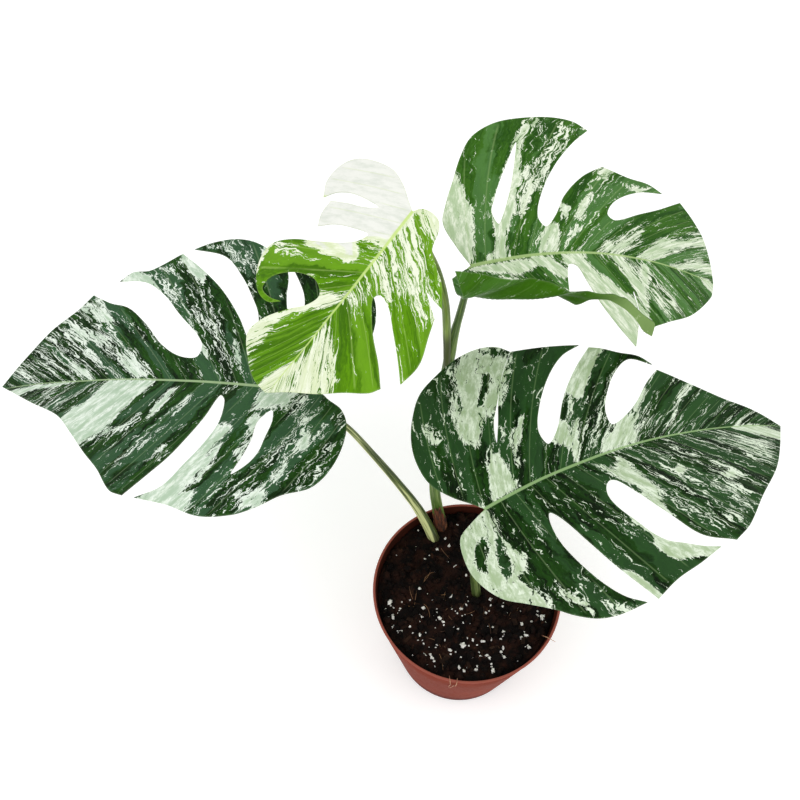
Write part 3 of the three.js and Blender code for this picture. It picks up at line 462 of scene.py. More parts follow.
# Markings: the level of the whole blade, from -1 for green to 1 for white, then zones painted over
# it in turn, each a level, the width of its soft edge in millimetres, and u and v of its corners.
bladeMarks = {
    "front_right": [
        -0.57,
        [-0.3, 10, 76,48, 142,48, 226,5, 229,0, 109,1, 59,11],
        [-0.5, 12, 136,46, 159,48, 229,5, 232,-1, 167,0, 142,18],
        [-0.3, 10, 97,-5, 226,-4, 192,-45, 151,-82, 109,-79, 92,-32],
        [-0.4, 8, -18,43, 1,76, 26,100, 36,85, 14,51, 1,25],
        [0.05, 5, 14,63, 26,91, 36,110, 46,103, 36,85, 24,63, 16,45, 12,51],
        [0.85, 2.5, 7,2, 14,17, 20,28, 25,35, 25,36, 26,25, 26,15, 26,2],
        [0.6, 3.5, 16,43, 13,51, 16,61, 22,70, 26,81, 32,93, 42,103, 52,112, 69,107, 74,101, 65,84,
         56,71, 46,59, 32,53, 24,45, 19,40],
        [-0.8, 2, 34,65, 39,76, 47,86, 52,88, 51,82, 42,70, 36,64],
        [-0.5, 2, 24,78, 26,90, 31,96, 32,91, 28,80, 26,68],
        [-0.5, 3, 54,108, 66,106, 70,100, 66,96, 59,100],
        [0.5, 2, -3,68, -1,73, 1,70, -1,55, -3,56],
        [0.7, 2.5, 32,15, 37,28, 41,36, 52,45, 55,45, 47,35, 39,25, 34,15],
        [0.8, 2.5, 63,18, 65,28, 69,35, 76,29, 73,20, 76,11, 71,6, 68,2, 70,11, 66,16],
        [0.9, 2.5, 89,46, 88,56, 94,64, 103,73, 111,83, 122,85, 129,81, 119,70, 114,63, 106,56,
         97,46, 92,44],
        [0.6, 2, 74,18, 81,28, 86,35, 84,26, 76,16],
        [0.45, 4, 84,2, 92,10, 102,13, 108,24, 114,25, 122,18, 116,10, 114,1, 99,0],
        [0.4, 3, 121,20, 128,36, 140,44, 139,35, 127,25, 122,18],
        [0.2, 3, 159,31, 172,41, 178,40, 162,26, 151,18, 146,10],
        [0.55, 3.5, -1,3, 3,-4, 1,-14, -4,-24, -1,-32, 1,-41, -4,-49, -11,-55, -8,-62, -7,-69,
         -6,-83, -19,-71, -31,-60, -37,-38, -35,-22, -25,-5, -12,0],
        [-0.7, 2, -28,-35, -27,-29, -21,-22, -14,-17, -11,-19, -16,-27, -26,-40],
        [-0.25, 2, -19,-49, -16,-37, -9,-24, -5,-22, -5,-29, -8,-42, -14,-50],
        [0.6, 2, 4,-79, 6,-65, 8,-74, 14,-87, 13,-92, 7,-82],
        [0, 3, 22,-89, 29,-92, 39,-104, 29,-106, 21,-95],
        [0.7, 2, 41,-80, 50,-82, 54,-92, 59,-105, 50,-106, 45,-93],
        [0.1, 2, 31,-34, 34,-46, 40,-75, 44,-83, 42,-87, 37,-70, 33,-48],
        [0.95, 1.2, 72,-37, 73,-44, 72,-52, 74,-57, 75,-61, 78,-66, 75,-74, 76,-78, 77,-83, 82,-87,
         88,-89, 97,-90, 107,-95, 119,-91, 116,-86, 104,-82, 96,-78, 88,-74, 81,-69, 78,-63,
         75,-56, 73,-49, 74,-42],
        [0.9, 1.5, 72,-55, 77,-67, 82,-81, 93,-82, 110,-85, 115,-85, 95,-81, 81,-69, 73,-57],
        [0.55, 3, 78,-4, 86,-14, 92,-9, 96,-5, 100,-29, 102,-42, 96,-59, 91,-50, 90,-32, 85,-24,
         82,-19],
        [0.95, 2, 189,-1, 202,1, 214,-1, 229,-9, 222,-14, 209,-10, 197,-5],
        [0.8, 1.5, 123,-27, 128,-26, 130,-30, 127,-32, 123,-31],
        [0.5, 2, 152,-38, 162,-38, 161,-44, 153,-43],
        [0.3, 3, 149,-49, 159,-51, 159,-55, 151,-52],
        [0.1, 4, 167,-9, 192,-12, 209,-19, 197,-32, 176,-20],
    ],
    "left": [
        -0.62,
        [-0.34, 8, -19,63, -13,71, 4,75, 34,98, 57,103, 57,86, 34,63, 19,30, 19,6, 2,6, -14,20],
        [-0.16, 7, 119,-2, 241,-2, 222,-29, 197,-54, 172,-64, 147,-40],
        [-0.2, 6, 56,-4, 81,-17, 106,-37, 131,-67, 144,-79, 122,-97, 97,-75, 72,-45],
        [-0.2, 5, 51,-47, 64,-75, 91,-100, 107,-104, 81,-115, 64,-110],
        [-0.45, 6, 87,58, 107,88, 144,58, 131,41, 107,43, 91,26],
        [-0.1, 4, 152,3, 159,6, 166,22, 177,18, 184,13, 174,5, 197,6, 224,8, 221,13, 186,28,
         176,26],
        [-0.3, 6, 181,30, 231,10, 224,6, 184,10],
        [0.92, 2.5, 116,1, 119,10, 126,18, 126,23, 131,31, 132,40, 137,46, 141,51, 152,60, 158,54,
         165,46, 173,41, 169,30, 166,25, 161,25, 156,16, 149,1],
        [0.35, 3, 115,35, 122,45, 131,50, 140,54, 136,43, 123,40, 116,32],
        [0.92, 2.5, 52,40, 57,36, 66,40, 70,50, 74,61, 81,73, 86,85, 98,100, 91,103, 68,106, 62,98,
         64,86, 72,92, 67,81, 64,71, 62,58, 57,48],
        [0.5, 2, 55,58, 57,63, 62,80, 66,83, 64,70, 60,56, 56,50],
        [0.75, 3, 17,3, 19,13, 24,19, 27,15, 37,20, 43,23, 42,13, 41,3],
        [0.4, 2.5, 36,35, 39,53, 42,64, 46,58, 41,46, 43,26, 37,23],
        [0.55, 2, 3,50, 7,50, 8,36, 4,35],
        [0.4, 2.5, 10,61, 17,77, 19,75, 14,61],
        [0.4, 3, 20,85, 23,96, 34,96, 35,91, 26,84],
        [-0.2, 4, -3,6, 6,30, 19,20, 17,5],
        [0.7, 2.5, 97,8, 101,20, 106,33, 109,36, 108,23, 101,9],
        [0.3, 2, 84,13, 88,30, 92,38, 92,26, 87,13],
        [0.9, 1.5, 179,1, 197,4, 214,6, 226,10, 242,4, 179,0],
        [0.5, 3, 122,-4, 131,-2, 144,-15, 148,-20, 139,-18, 129,-10],
        [0.55, 3, 166,-2, 181,-10, 184,-14, 171,-9],
        [0.45, 3, 152,-42, 172,-47, 191,-59, 181,-60, 161,-52],
        [0.3, 3, 147,-24, 172,-30, 197,-42, 186,-42, 161,-34],
        [0.6, 2, 79,-17, 91,-25, 94,-28, 84,-27],
        [0.8, 1.5, 97,-31, 114,-54, 133,-66, 144,-72, 159,-74, 149,-88, 134,-79, 117,-58, 100,-39],
        [0.7, 2, 94,-74, 106,-85, 115,-94, 119,-103, 105,-98, 93,-85],
        [0.6, 1.5, 56,-7, 62,-19, 66,-37, 68,-44, 64,-37, 58,-20],
        [0.7, 2, 52,-95, 57,-104, 60,-116, 56,-114, 52,-102],
    ],
    "back_right": [
        -0.58,
        [-0.32, 6, 37,11, 48,39, 70,68, 57,79, 73,101, 90,102, 112,95, 97,81, 78,63, 63,41, 57,21,
         53,3],
        [-0.45, 8, 70,4, 87,36, 112,64, 158,58, 120,44, 113,31, 153,36, 185,54, 207,31, 217,1,
         137,1],
        [0.85, 3, -3,2, -9,10, -12,33, -6,46, 4,60, 11,67, 13,53, 11,45, 14,38, 10,28, 6,16, 3,3],
        [0.9, 2.5, 12,1, 20,9, 23,16, 26,33, 28,40, 32,44, 42,59, 53,76, 58,81, 57,71, 55,61,
         53,54, 48,47, 42,35, 37,26, 32,18, 29,11, 28,1],
        [0.35, 3, 43,29, 53,46, 63,56, 73,68, 78,69, 71,59, 62,49, 54,39, 46,26],
        [0.6, 2.5, 53,78, 58,88, 70,97, 80,105, 78,98, 65,88, 58,78],
        [0.45, 2.5, 56,56, 60,63, 67,71, 68,69, 62,59, 58,54],
        [0.3, 3, 77,69, 87,81, 100,94, 103,94, 90,79, 80,69],
        [0.75, 2.5, 51,1, 55,15, 63,23, 63,25, 70,20, 69,11, 65,1],
        [0.55, 2, 71,4, 78,14, 87,20, 86,16, 77,10, 72,3],
        [0.6, 2, 75,24, 77,38, 84,33, 79,24],
        [0.7, 2, 85,25, 96,41, 104,45, 99,38, 89,24],
        [0.3, 2.5, 112,56, 115,63, 123,70, 128,67, 120,56],
        [0.2, 2, 130,58, 140,56, 153,58, 148,50, 132,54],
        [0.5, 3, 99,1, 108,9, 115,8, 124,13, 130,14, 138,21, 144,24, 138,16, 128,7, 113,1],
        [0.85, 2.5, 135,1, 147,9, 154,14, 160,20, 178,23, 192,28, 210,33, 212,29, 192,23, 181,19,
         168,13, 161,7, 148,1],
        [0.8, 2.5, 168,1, 187,7, 202,13, 218,14, 221,9, 204,7, 188,4, 178,1],
        [0.8, 2, 203,0, 210,2, 222,-2, 216,-8, 205,-4],
        [0.3, 3, 192,28, 198,33, 210,36, 212,33, 195,25],
        [-0.35, 6, 42,-4, 70,-4, 90,-6, 120,-32, 117,-6, 153,-4, 170,-39, 150,-46, 133,-32],
        [0.95, 2.5, 68,-1, 85,-1, 90,-9, 100,-17, 109,-27, 124,-33, 118,-40, 117,-55, 109,-72,
         97,-58, 84,-41, 77,-26, 75,-14, 68,-6],
        [-0.7, 2, 85,-4, 93,-2, 103,-4, 115,-16, 120,-27, 113,-29, 103,-21, 92,-14],
        [0.9, 2.5, 108,-1, 120,0, 125,-9, 130,-17, 133,-27, 128,-31, 122,-21, 117,-12, 112,-6],
        [0.5, 3, 137,-3, 144,-2, 142,-12, 137,-21, 131,-27, 134,-12],
        [0.05, 4, 143,-32, 147,-19, 157,-17, 168,-21, 170,-36, 157,-39, 150,-44],
        [0.4, 2.5, 119,-30, 128,-31, 137,-27, 133,-39, 130,-58, 121,-49],
        [0.7, 2, -2,-2, 30,-2, 60,-2, 60,-6, 30,-12, 10,-6],
        [0.75, 2, 15,-12, 35,-22, 50,-27, 40,-30, 20,-22],
        [0.7, 2, 43,-2, 53,-2, 63,-9, 72,-15, 63,-19, 53,-11],
    ],
    "centre": [
        -0.5,
        [0, 4, -3,-2, -10,5, -10,20, 8,33, 16,48, 36,62, 48,59, 44,36, 53,28, 49,16, 66,16, 63,1],
        [-0.5, 3, 44,31, 46,46, 49,57, 63,69, 74,70, 63,46, 51,32],
        [-0.75, 3, 64,6, 66,21, 69,31, 84,61, 91,56, 99,42, 93,29, 79,17, 73,9],
        [0.3, 4, 83,2, 89,21, 99,37, 109,41, 117,35, 103,24, 93,2],
        [0.35, 3, 91,3, 93,22, 103,29, 116,34, 126,24, 140,7, 148,-1, 141,-8, 126,-3, 114,2,
         103,4],
        [-0.15, 3, 114,4, 115,12, 123,15, 129,9, 123,5],
        [0.3, 3, -7,0, -9,17, -5,23, 6,22, 4,12, -2,3],
        [1.9, 3, -4,1, 26,-1, 31,-8, 29,-18, 32,-22, 42,-12, 47,-18, 50,-28, 55,-41, 58,-51,
         43,-40, 47,-49, 36,-60, 23,-59, 26,-65, 16,-71, -1,-71, -18,-55, -21,-41, -21,-29,
         -16,-16, -10,-5],
        [-0.2, 2, 23,-4, 28,-4, 34,-14, 31,-16, 26,-11],
        [-0.5, 2, 35,-4, 43,-4, 42,-8, 37,-12, 34,-8],
        [0.2, 3, 66,-1, 76,-4, 79,-11, 72,-18, 67,-8],
        [-0.85, 3, 83,-4, 103,-4, 126,-9, 141,-16, 136,-28, 119,-24, 106,-21, 93,-16],
        [0.22, 3, 69,-8, 76,-8, 83,-14, 93,-20, 106,-27, 119,-28, 134,-32, 146,-31, 135,-46,
         117,-45, 94,-35, 83,-24, 75,-22, 68,-14],
        [-0.5, 1.5, 93,-21, 106,-25, 118,-28, 116,-30, 104,-28, 94,-24],
        [0.6, 2, 43,-18, 48,-28, 48,-43, 56,-60, 51,-55, 44,-40, 42,-23],
        [0.7, 1.5, 56,-61, 70,-73, 86,-72, 103,-68, 110,-54, 109,-54, 103,-73, 88,-80, 68,-77],
        [-0.1, 3, 52,-38, 59,-34, 66,-48, 76,-63, 83,-71, 71,-71, 59,-54],
        [0.7, 2, 114,6, 126,1, 139,-4, 148,-4, 148,-10, 126,-4, 114,1],
    ],
}

bladeSettings = {
    "edgeStep": 2.0, "gridStep": 2.2, "half": 0.32, "ribFold": 1.5, "ripple": 0.8,
    "rippleSize": 38, "ribWidth": 1.3, "ridge": 0.45, "valley": 0.25, "valleyAt": 3.0,
    "keel": 1.5, "thinning": 0.7,
    "ribLines": [0.5, 1.0, 1.7, 2.6, 3.6],
}


# Value of a table at a place, eased between its rows.
def easedRows(rows, place):
    table = np.array(rows, float)
    place = np.clip(place, table[0, 0], table[-1, 0])
    i = np.clip(np.searchsorted(table[:, 0], place, side="right") - 1, 0, len(table) - 2)
    part = (place - table[i, 0]) / (table[i + 1, 0] - table[i, 0])
    part = (part * part * (3 - 2 * part))[:, None]
    return table[i, 1:] * (1 - part) + table[i + 1, 1:] * part


# Flat blade points bent into space.
def bentBlade(blade, u, v):
    width = np.abs(v)
    left = v >= 0
    vein = u - np.where(left, *blade["slant"]) * width
    rows = np.where(left[:, None], easedRows(blade["left"], vein), easedRows(blade["right"], vein))
    rise, bend = np.radians(rows[:, 0]), np.radians(rows[:, 1]) / 100
    bend = np.where(np.abs(bend) < 1e-6, 1e-6, bend)
    down, aside = math.radians(blade["droop"]) / 100, math.radians(blade["sweep"]) / 100
    sine = lambda turn: np.sin(turn * u) / turn
    cosine = lambda turn: (1 - np.cos(turn * u)) / turn
    spine = np.stack([
        (sine(down - aside) + sine(down + aside)) / 2,
        (cosine(down + aside) - cosine(down - aside)) / 2,
        -cosine(down),
    ], -1)
    a, b = down * u, aside * u
    side = np.stack([-np.sin(b), np.cos(b), 0 * b], -1)
    up = np.stack([np.sin(a) * np.cos(b), np.sin(a) * np.sin(b), np.cos(a)], -1)
    lateral = (np.sin(rise + bend * width) - np.sin(rise)) / bend
    lift = (np.cos(rise) - np.cos(rise + bend * width)) / bend
    bent = spine + (np.sign(v) * lateral)[:, None] * side + lift[:, None] * up
    heading, pitch, roll = (math.radians(blade[k]) for k in ("heading", "pitch", "roll"))
    forward = np.array([
        math.cos(heading) * math.cos(pitch), math.sin(heading) * math.cos(pitch), math.sin(pitch),
    ])
    level = np.array([-math.sin(heading), math.cos(heading), 0])
    across = level * math.cos(roll) + np.cross(forward, level) * math.sin(roll)
    frameOf = np.stack([forward, across, np.cross(forward, across)])
    return np.array(blade["base"], float) + bent @ frameOf


def bladeNormals(blade, u, v):
    step = 0.5
    sides = []
    for sign in (1, -1):
        keep = sign * np.maximum(np.abs(v), step)
        alongU = bentBlade(blade, u + step, keep) - bentBlade(blade, u - step, keep)
        alongV = bentBlade(blade, u, keep + step) - bentBlade(blade, u, keep - step)
        normal = np.cross(alongU, alongV)
        sides.append(normal / np.linalg.norm(normal, axis=1)[:, None])
    fold = bladeSettings["ribFold"]
    share = np.clip(0.5 + v / (2 * fold), 0, 1)[:, None]
    normal = sides[0] * share + sides[1] * (1 - share)
    return normal / np.linalg.norm(normal, axis=1)[:, None]


def pairs(flat):
    return list(zip(flat[::2], flat[1::2]))


# A closed line through the points of its rows. In an outline each row starts at a corner, and in
# between the line is smooth. A hole is one smooth row.
def smoothLoop(rows, step, corners=True):
    points, sharp = [], []
    for row in rows:
        sharp += [corners and k == 0 for k in range(len(row) // 2)]
        points += pairs(row)
    loop = []
    count = len(points)
    for i in range(count):
        end = (i + 1) % count
        p0, p1, p2, p3 = (np.array(points[(i + k) % count], float) for k in (-1, 0, 1, 2))
        if sharp[i]:
            p0 = p1 - (p2 - p1) * 0.5
        if sharp[end]:
            p3 = p2 + (p2 - p1) * 0.5
        span = np.linalg.norm(p2 - p1)
        leaving = (p2 - p0) * span / (np.linalg.norm(p1 - p0) + span)
        arriving = (p3 - p1) * span / (span + np.linalg.norm(p3 - p2))
        parts = max(1, round(span / step))
        for k in range(parts):
            t = k / parts
            loop.append(
                p1 * (2 * t ** 3 - 3 * t ** 2 + 1) + leaving * (t ** 3 - 2 * t ** 2 + t)
                + p2 * (3 * t ** 2 - 2 * t ** 3) + arriving * (t ** 3 - t ** 2)
            )
    return np.array(loop)


def bladeLoops(blade, step):
    holes = [smoothLoop([hole], step, corners=False) for hole in blade["holes"]]
    return [smoothLoop(blade["outline"], step), *holes]


# Distance of each place from a closed line, positive inside it.
def insideDistance(u, v, loop):
    a = np.array(loop, float)
    b = np.roll(a, -1, axis=0)
    edge = b - a
    least = np.full(len(u), 1e9)
    inside = np.zeros(len(u), bool)
    for (ax, ay), (bx, by), (ex, ey) in zip(a, b, edge):
        dx, dy = u - ax, v - ay
        t = np.clip((dx * ex + dy * ey) / max(ex * ex + ey * ey, 1e-9), 0, 1)
        least = np.minimum(least, (dx - t * ex) ** 2 + (dy - t * ey) ** 2)
        if ay != by:
            inside ^= ((ay > v) != (by > v)) & (u < ax + (v - ay) * ex / ey)
    return np.sqrt(least) * np.where(inside, 1, -1)


# Where along the midrib the vein through each place leaves it.
def veinStart(rows, curve, u, width):
    table = np.array(rows, float)
    low, high = u - 400, u + 200
    for _ in range(34):
        middle = (low + high) / 2
        slope = np.interp(middle, table[:, 0], table[:, 1])
        over = middle + slope * width + curve * width ** 2 > u
        high = np.where(over, middle, high)
        low = np.where(over, low, middle)
    return (low + high) / 2


def flatBlade(blade):
    shape = bmesh.new()
    edges = []
    for line in bladeLoops(blade, bladeSettings["edgeStep"]):
        loop = [shape.verts.new((*p, 0)) for p in line]
        edges += [shape.edges.new((loop[k - 1], loop[k])) for k in range(len(loop))]
    bmesh.ops.triangle_fill(shape, edges=edges, use_beauty=True, normal=(0, 0, 1))
    lows, highs = ([end(v.co[k] for v in shape.verts) for k in (0, 1)] for end in (min, max))
    step = bladeSettings["gridStep"]
    cuts = [(0, lows[0] + step * (k + 0.5)) for k in range(int((highs[0] - lows[0]) / step))]
    # Lines along the midrib are close at its ridge and even beyond.
    near = bladeSettings["ribLines"]
    cuts += [(1, 0.0)] + [(1, x) for x in near] + [(1, -x) for x in near]
    for way, end in ((1, highs[1]), (-1, -lows[1])):
        place = near[-1] + step
        while place < end:
            cuts.append((1, way * place))
            place += step
    for axis, place in cuts:
        spot, way = [0, 0, 0], [0, 0, 0]
        spot[axis], way[axis] = place, 1
        geometry = shape.verts[:] + shape.edges[:] + shape.faces[:]
        bmesh.ops.bisect_plane(shape, geom=geometry, dist=1e-4, plane_co=spot, plane_no=way)
    slanted = []
    for e in shape.edges:
        a, b = (v.co for v in e.verts)
        if len(e.link_faces) == 2 and abs(a.x - b.x) > 1e-3 and abs(a.y - b.y) > 1e-3:
            slanted.append(e)
    bmesh.ops.dissolve_edges(shape, edges=slanted, use_verts=False)
    bmesh.ops.remove_doubles(shape, verts=shape.verts, dist=0.12)
    return shape


def makeBlade(name, materials):
    blade = bladeShapes[name]
    looks = bladeLooks[name]
    shape = flatBlade(blade)
    lowerFaces = shape.faces[:]
    extruded = bmesh.ops.extrude_face_region(shape, geom=lowerFaces, use_keep_orig=True)
    upperVerts = {x for x in extruded["geom"] if isinstance(x, bmesh.types.BMVert)}
    upperFaces = {x for x in extruded["geom"] if isinstance(x, bmesh.types.BMFace)}
    lower = set(lowerFaces)
    shape.verts.index_update()
    verts = shape.verts[:]
    u = np.array([x.co.x for x in verts])
    v = np.array([x.co.y for x in verts])
    isUpper = np.array([x in upperVerts for x in verts])
    width = np.abs(v)
    curve = looks["veinCurve"]
    start = np.where(v >= 0, *(veinStart(rows, curve, u, width) for rows in looks["veins"]))
    distances = [np.abs(insideDistance(u, v, loop)) for loop in bladeLoops(blade, 4)]
    margin = np.min(distances, axis=0)
    length = blade["length"]
    thin = 1 - bladeSettings["thinning"] * np.clip(u / length, 0, 1)
    ends = np.clip((length - u) / 12, 0, 1) * np.clip((u + 2) / 8, 0, 1)
    ribWidth = bladeSettings["ribWidth"]
    ridge = np.exp(-(v / ribWidth) ** 2) * ends
    valley = np.exp(-((width - bladeSettings["valleyAt"]) / ribWidth) ** 2) * ends
    away = np.clip((width - 2) / 8, 0, 1) * np.clip(margin / 5, 0, 1)
    quilt = -np.cos(2 * np.pi * start / looks["veinStep"]) * away * looks["quilt"]
    seed, size = looks["seed"], bladeSettings["rippleSize"]
    ripple = np.array([noise.noise(Vector((a / size, b / size, seed))) for a, b in zip(u, v)])
    ripple *= bladeSettings["ripple"] * np.clip((np.hypot(u, v) - 10) / 30, 0, 1)
    half = bladeSettings["half"]
    upper = half + thin * (bladeSettings["ridge"] * ridge - bladeSettings["valley"] * valley)
    under = -half - bladeSettings["keel"] * thin * ridge
    offset = np.where(isUpper, upper, under) + quilt + ripple
    points = bentBlade(blade, u, v) + bladeNormals(blade, u, v) * offset[:, None]
    for vert, spot in zip(verts, points * mm):
        vert.co = spot
    base, *zones = bladeMarks[name]
    field = np.full(len(u), base)
    for level, soft, *corners in zones:
        share = np.clip(0.5 + insideDistance(u, v, pairs(corners)) / (2 * soft), 0, 1)
        field = field * (1 - share) + level * share
    for face in shape.faces:
        face.material_index = 1 if face in lower else 0
    broad = lower | upperFaces
    for e in shape.edges:
        if len(e.link_faces) == 2 and sum(f in broad for f in e.link_faces) == 1:
            e.smooth = False
    mesh = meshFrom(name + "Leaf", shape)
    storeValues(mesh, "streak", np.stack([start, v, width], -1))
    storeValues(mesh, "flat", np.stack([u, v, margin], -1))
    storeValues(mesh, "field", field)
    pieceFrom(name + "Leaf", mesh, materials, ["blade_" + name])
    print("stage: blade", name, len(mesh.polygons))


bladeLooks = {
    "left": {
        "slot": "leaf_dark", "seed": 3.1, "veinStep": 11.5, "quilt": 0.32, "veinCurve": 0.0012,
        "veins": [
            [(-60, 0.25), (0, 0.38), (120, 0.5), (160, 0.8), (230, 1.8)],
            [(-60, -0.1), (0, 0.1), (60, 0.5), (120, 0.95), (200, 1.8), (240, 2.3)],
        ],
        "stretch": 1.0, "dark": "061a02", "green": "20460f", "grey": "3c5f41", "white": "dfe8dc",
        "pale": "a9bfa6", "rib": "9cb487", "underGreen": "507443", "sector": 0.52,
    },
    "front_right": {
        "slot": "leaf_dark", "seed": 7.7, "veinStep": 11.0, "quilt": 0.32, "veinCurve": 0.001,
        "veins": [
            [(-60, 0.1), (0, 0.3), (60, 0.75), (120, 1.3), (220, 2.1)],
            [(-60, -0.9), (-20, -0.45), (0, -0.2), (40, 0.1), (100, 0.6), (160, 1.5), (220, 2.4)],
        ],
        "stretch": 0.85, "dark": "021000", "green": "193c0a", "grey": "2d5029", "white": "dae5d1",
        "pale": "a3b792", "rib": "8fae76", "underGreen": "507443", "sector": 0.5,
    },
    "back_right": {
        "slot": "leaf_mid", "seed": 11.3, "veinStep": 10.5, "quilt": 0.3, "veinCurve": 0.0012,
        "veins": [
            [(-60, 0.0), (0, 0.2), (60, 0.75), (105, 1.6), (150, 2.2), (210, 2.6)],
            [(-90, 0.3), (0, 0.6), (100, 0.7), (140, 1.1), (210, 2.2)],
        ],
        "stretch": 0.8, "dark": "1b4404", "green": "376414", "grey": "527e42", "white": "e3ead6",
        "pale": "a9bf97", "rib": "a3bd7c", "underGreen": "3f7008", "sector": 0.52,
    },
    "centre": {
        "slot": "leaf_lime", "seed": 17.9, "veinStep": 9.0, "quilt": 0.28, "veinCurve": 0.001,
        "veins": [
            [(-60, 0.3), (0, 0.5), (60, 0.5), (80, 1.1), (140, 2.4)],
            [(-60, 0.1), (0, 0.25), (40, 0.45), (60, 1.1), (80, 2.0), (140, 2.6)],
        ],
        "stretch": 0.5, "dark": "3a6600", "green": "588c00", "grey": "6c9e1e", "white": "e6ebd6",
        "pale": "ccd8ae", "rib": "bdd67c", "underGreen": "7ca63a", "sector": 0.5,
    },
}


# Scales of the marking noises across and along the veins, and the gain of each on the level.
drawnNoise = {
    "broad": (0.14, 0.035, 1.3), "middle": (0.36, 0.055, 2.1), "fine": (1.0, 0.17, 2.9),
    "tiny": (2.5, 0.5, 1.5), "shade": (0.22, 0.03), "wide": (0.075, 0.011),
    "wanderScale": 0.16, "wander": (8, 20, 0),
}


# Markings from the stored level and from noise drawn out along the veins.
def markingGroup():
    tree = bpy.data.node_groups.new("leafMarkings", "ShaderNodeTree")
    face = tree.interface
    face.new_socket("Streak", in_out="INPUT", socket_type="NodeSocketVector")
    for way, titles in (
        ("INPUT", ("Field", "Seed", "Sector", "Vein Step")),
        ("OUTPUT", ("White", "Soft", "Shade", "Grey", "Vein", "Grain")),
    ):
        for title in titles:
            face.new_socket(title, in_out=way, socket_type="NodeSocketFloat")
    s = Shader(tree)
    given = s.node("NodeGroupInput").outputs
    lift = s.node("ShaderNodeCombineXYZ", {2: given["Seed"]}).outputs[0]
    place = s.shift(s.stretch(given["Streak"], (1, 1, 0)), lift)
    settings = {"Vector": place, "Scale": drawnNoise["wanderScale"], "Detail": 4.0}
    wander = s.node("ShaderNodeTexNoise", settings).outputs[1]
    wander = s.vector("SUBTRACT", wander, (0.5, 0.5, 0.5))
    place = s.shift(place, s.stretch(wander, drawnNoise["wander"]))

    def drawn(title, *looks, apart=None):
        spot = s.stretch(place, (*drawnNoise[title][:2], 1.7))
        return s.noise(s.shift(spot, apart) if apart else spot, 1, *looks)

    centred = lambda value, gain: s.times(s.minus(value, 0.5), gain)
    gained = lambda value, title: centred(value, drawnNoise[title][2])
    middle = drawn("middle", 3, 0.6, 0.3)
    fine = drawn("fine", 4, 0.62, 0.4)
    jag = s.plus(gained(middle, "middle"), gained(fine, "fine"))
    jag = s.plus(jag, gained(drawn("tiny", 3, 0.6, 0.3), "tiny"))
    level = s.plus(s.plus(given["Field"], jag), gained(drawn("broad", 3, 0.55), "broad"))
    shade = s.plus(drawn("shade", 4, 0.62, 0.2, apart=(31, 5, 0)), centred(fine, 0.5))
    sector = s.minus(drawn("wide", 3, 0.5, apart=(7, 61, 0)), given["Sector"])
    sector = s.plus(sector, centred(middle, 0.12))
    across = s.parts(given["Streak"])[0]
    turn = s.math("FRACT", s.plus(s.math("DIVIDE", across, given["Vein Step"]), 0.5))
    gap = s.times(s.math("ABSOLUTE", s.minus(turn, 0.5)), given["Vein Step"])
    s.node("NodeGroupOutput", {
        "White": s.step(level, -0.07, 0.07), "Soft": s.step(level, -0.35, 0.3),
        "Shade": s.step(shade, 0.36, 0.66), "Grey": s.step(sector, -0.015, 0.03),
        "Vein": s.step(gap, 0.55, 0.1), "Grain": fine,
    })
    return tree


def leafMaterial(name, group, under):
    looks, long = bladeLooks[name], bladeShapes[name]["length"]
    material, s = newMaterial(name + ("Under" if under else "Upper"))
    streak = s.attribute("streak")
    field = s.attribute("field", "Fac")
    got = s.node("ShaderNodeGroup", node_tree=group)
    for title, value in {
        "Streak": s.stretch(streak, (1, looks["stretch"], 1)), "Field": field,
        "Seed": looks["seed"], "Sector": looks["sector"], "Vein Step": looks["veinStep"],
    }.items():
        s.put(got.inputs[title], value)
    got = got.outputs
    along, across, margin = s.parts(s.attribute("flat"))
    green = s.mix(got["Shade"], looks["dark"], looks["green"])
    green = s.mix(s.times(got["Grey"], 0.6), green, looks["grey"])
    green = s.mix(s.times(got["Soft"], 0.5), green, looks["grey"])
    speck = s.noise(s.stretch(streak, (1.6, 0.3, 0)), 1, 3, 0.6)
    green = s.mix(s.step(speck, 0.5, 0.75, 0, 0.35), green, looks["grey"])
    whiteTone = s.noise(s.stretch(streak, (0.24, 0.07, 0)), 1, 5, 0.68)
    wash = s.times(s.step(field, -0.1, 0.5, 0.15, 1), s.step(whiteTone, 0.39, 0.6))
    white = s.mix(wash, looks["white"], looks["pale"])
    grainy = s.times(s.step(field, -0.1, 0.5), s.step(got["Grain"], 0.46, 0.62, 0, 0.7))
    white = s.mix(grainy, white, looks["pale"])
    # Painted shade: broad grey patches over the purest white stand in for shading on the white
    # blade, placed by noise.
    whiteWithShade = s.mix(s.step(whiteTone, 0.4, 0.7), "e1e2dc", "d0d4cc")
    white = s.mix(s.times(s.step(field, 1.1, 1.6), 0.95), white, whiteWithShade)
    body = s.mix(got["White"], green, white)
    vein = s.times(got["Vein"], s.step(margin, 1.0, 5.0, 0, 0.2))
    body = s.mix(vein, body, looks["rib"])
    ribEdge = s.step(along, 0, long, 1.15, 0.35)
    rib = s.step(s.minus(s.math("ABSOLUTE", across), ribEdge), 0.35, -0.35)
    rib = s.times(rib, s.step(along, long, long - 16, 0.3, 1))
    body = s.mix(s.times(rib, 0.85), body, looks["rib"])
    body = s.mix(s.step(margin, 0.8, 0.2, 0, 0.12), body, looks["rib"])
    if under:
        body = s.mix(0.62, body, looks["underGreen"])
        far = s.step(along, 0.25 * long, 0.4 * long, 0, 0.5)
        body = s.mix(far, body, looks["rib"])
    height = s.plus(s.times(got["Vein"], -0.6), s.times(got["Grain"], 0.5))
    s.surface(body, s.blend(got["White"], 0.42, 0.5), 0.08, s.bump(height, 0.35, 0.0004))
    return material


markings = markingGroup()
for bladeName in bladeLooks:
    sides = [leafMaterial(bladeName, markings, under) for under in (False, True)]
    makeBlade(bladeName, sides)


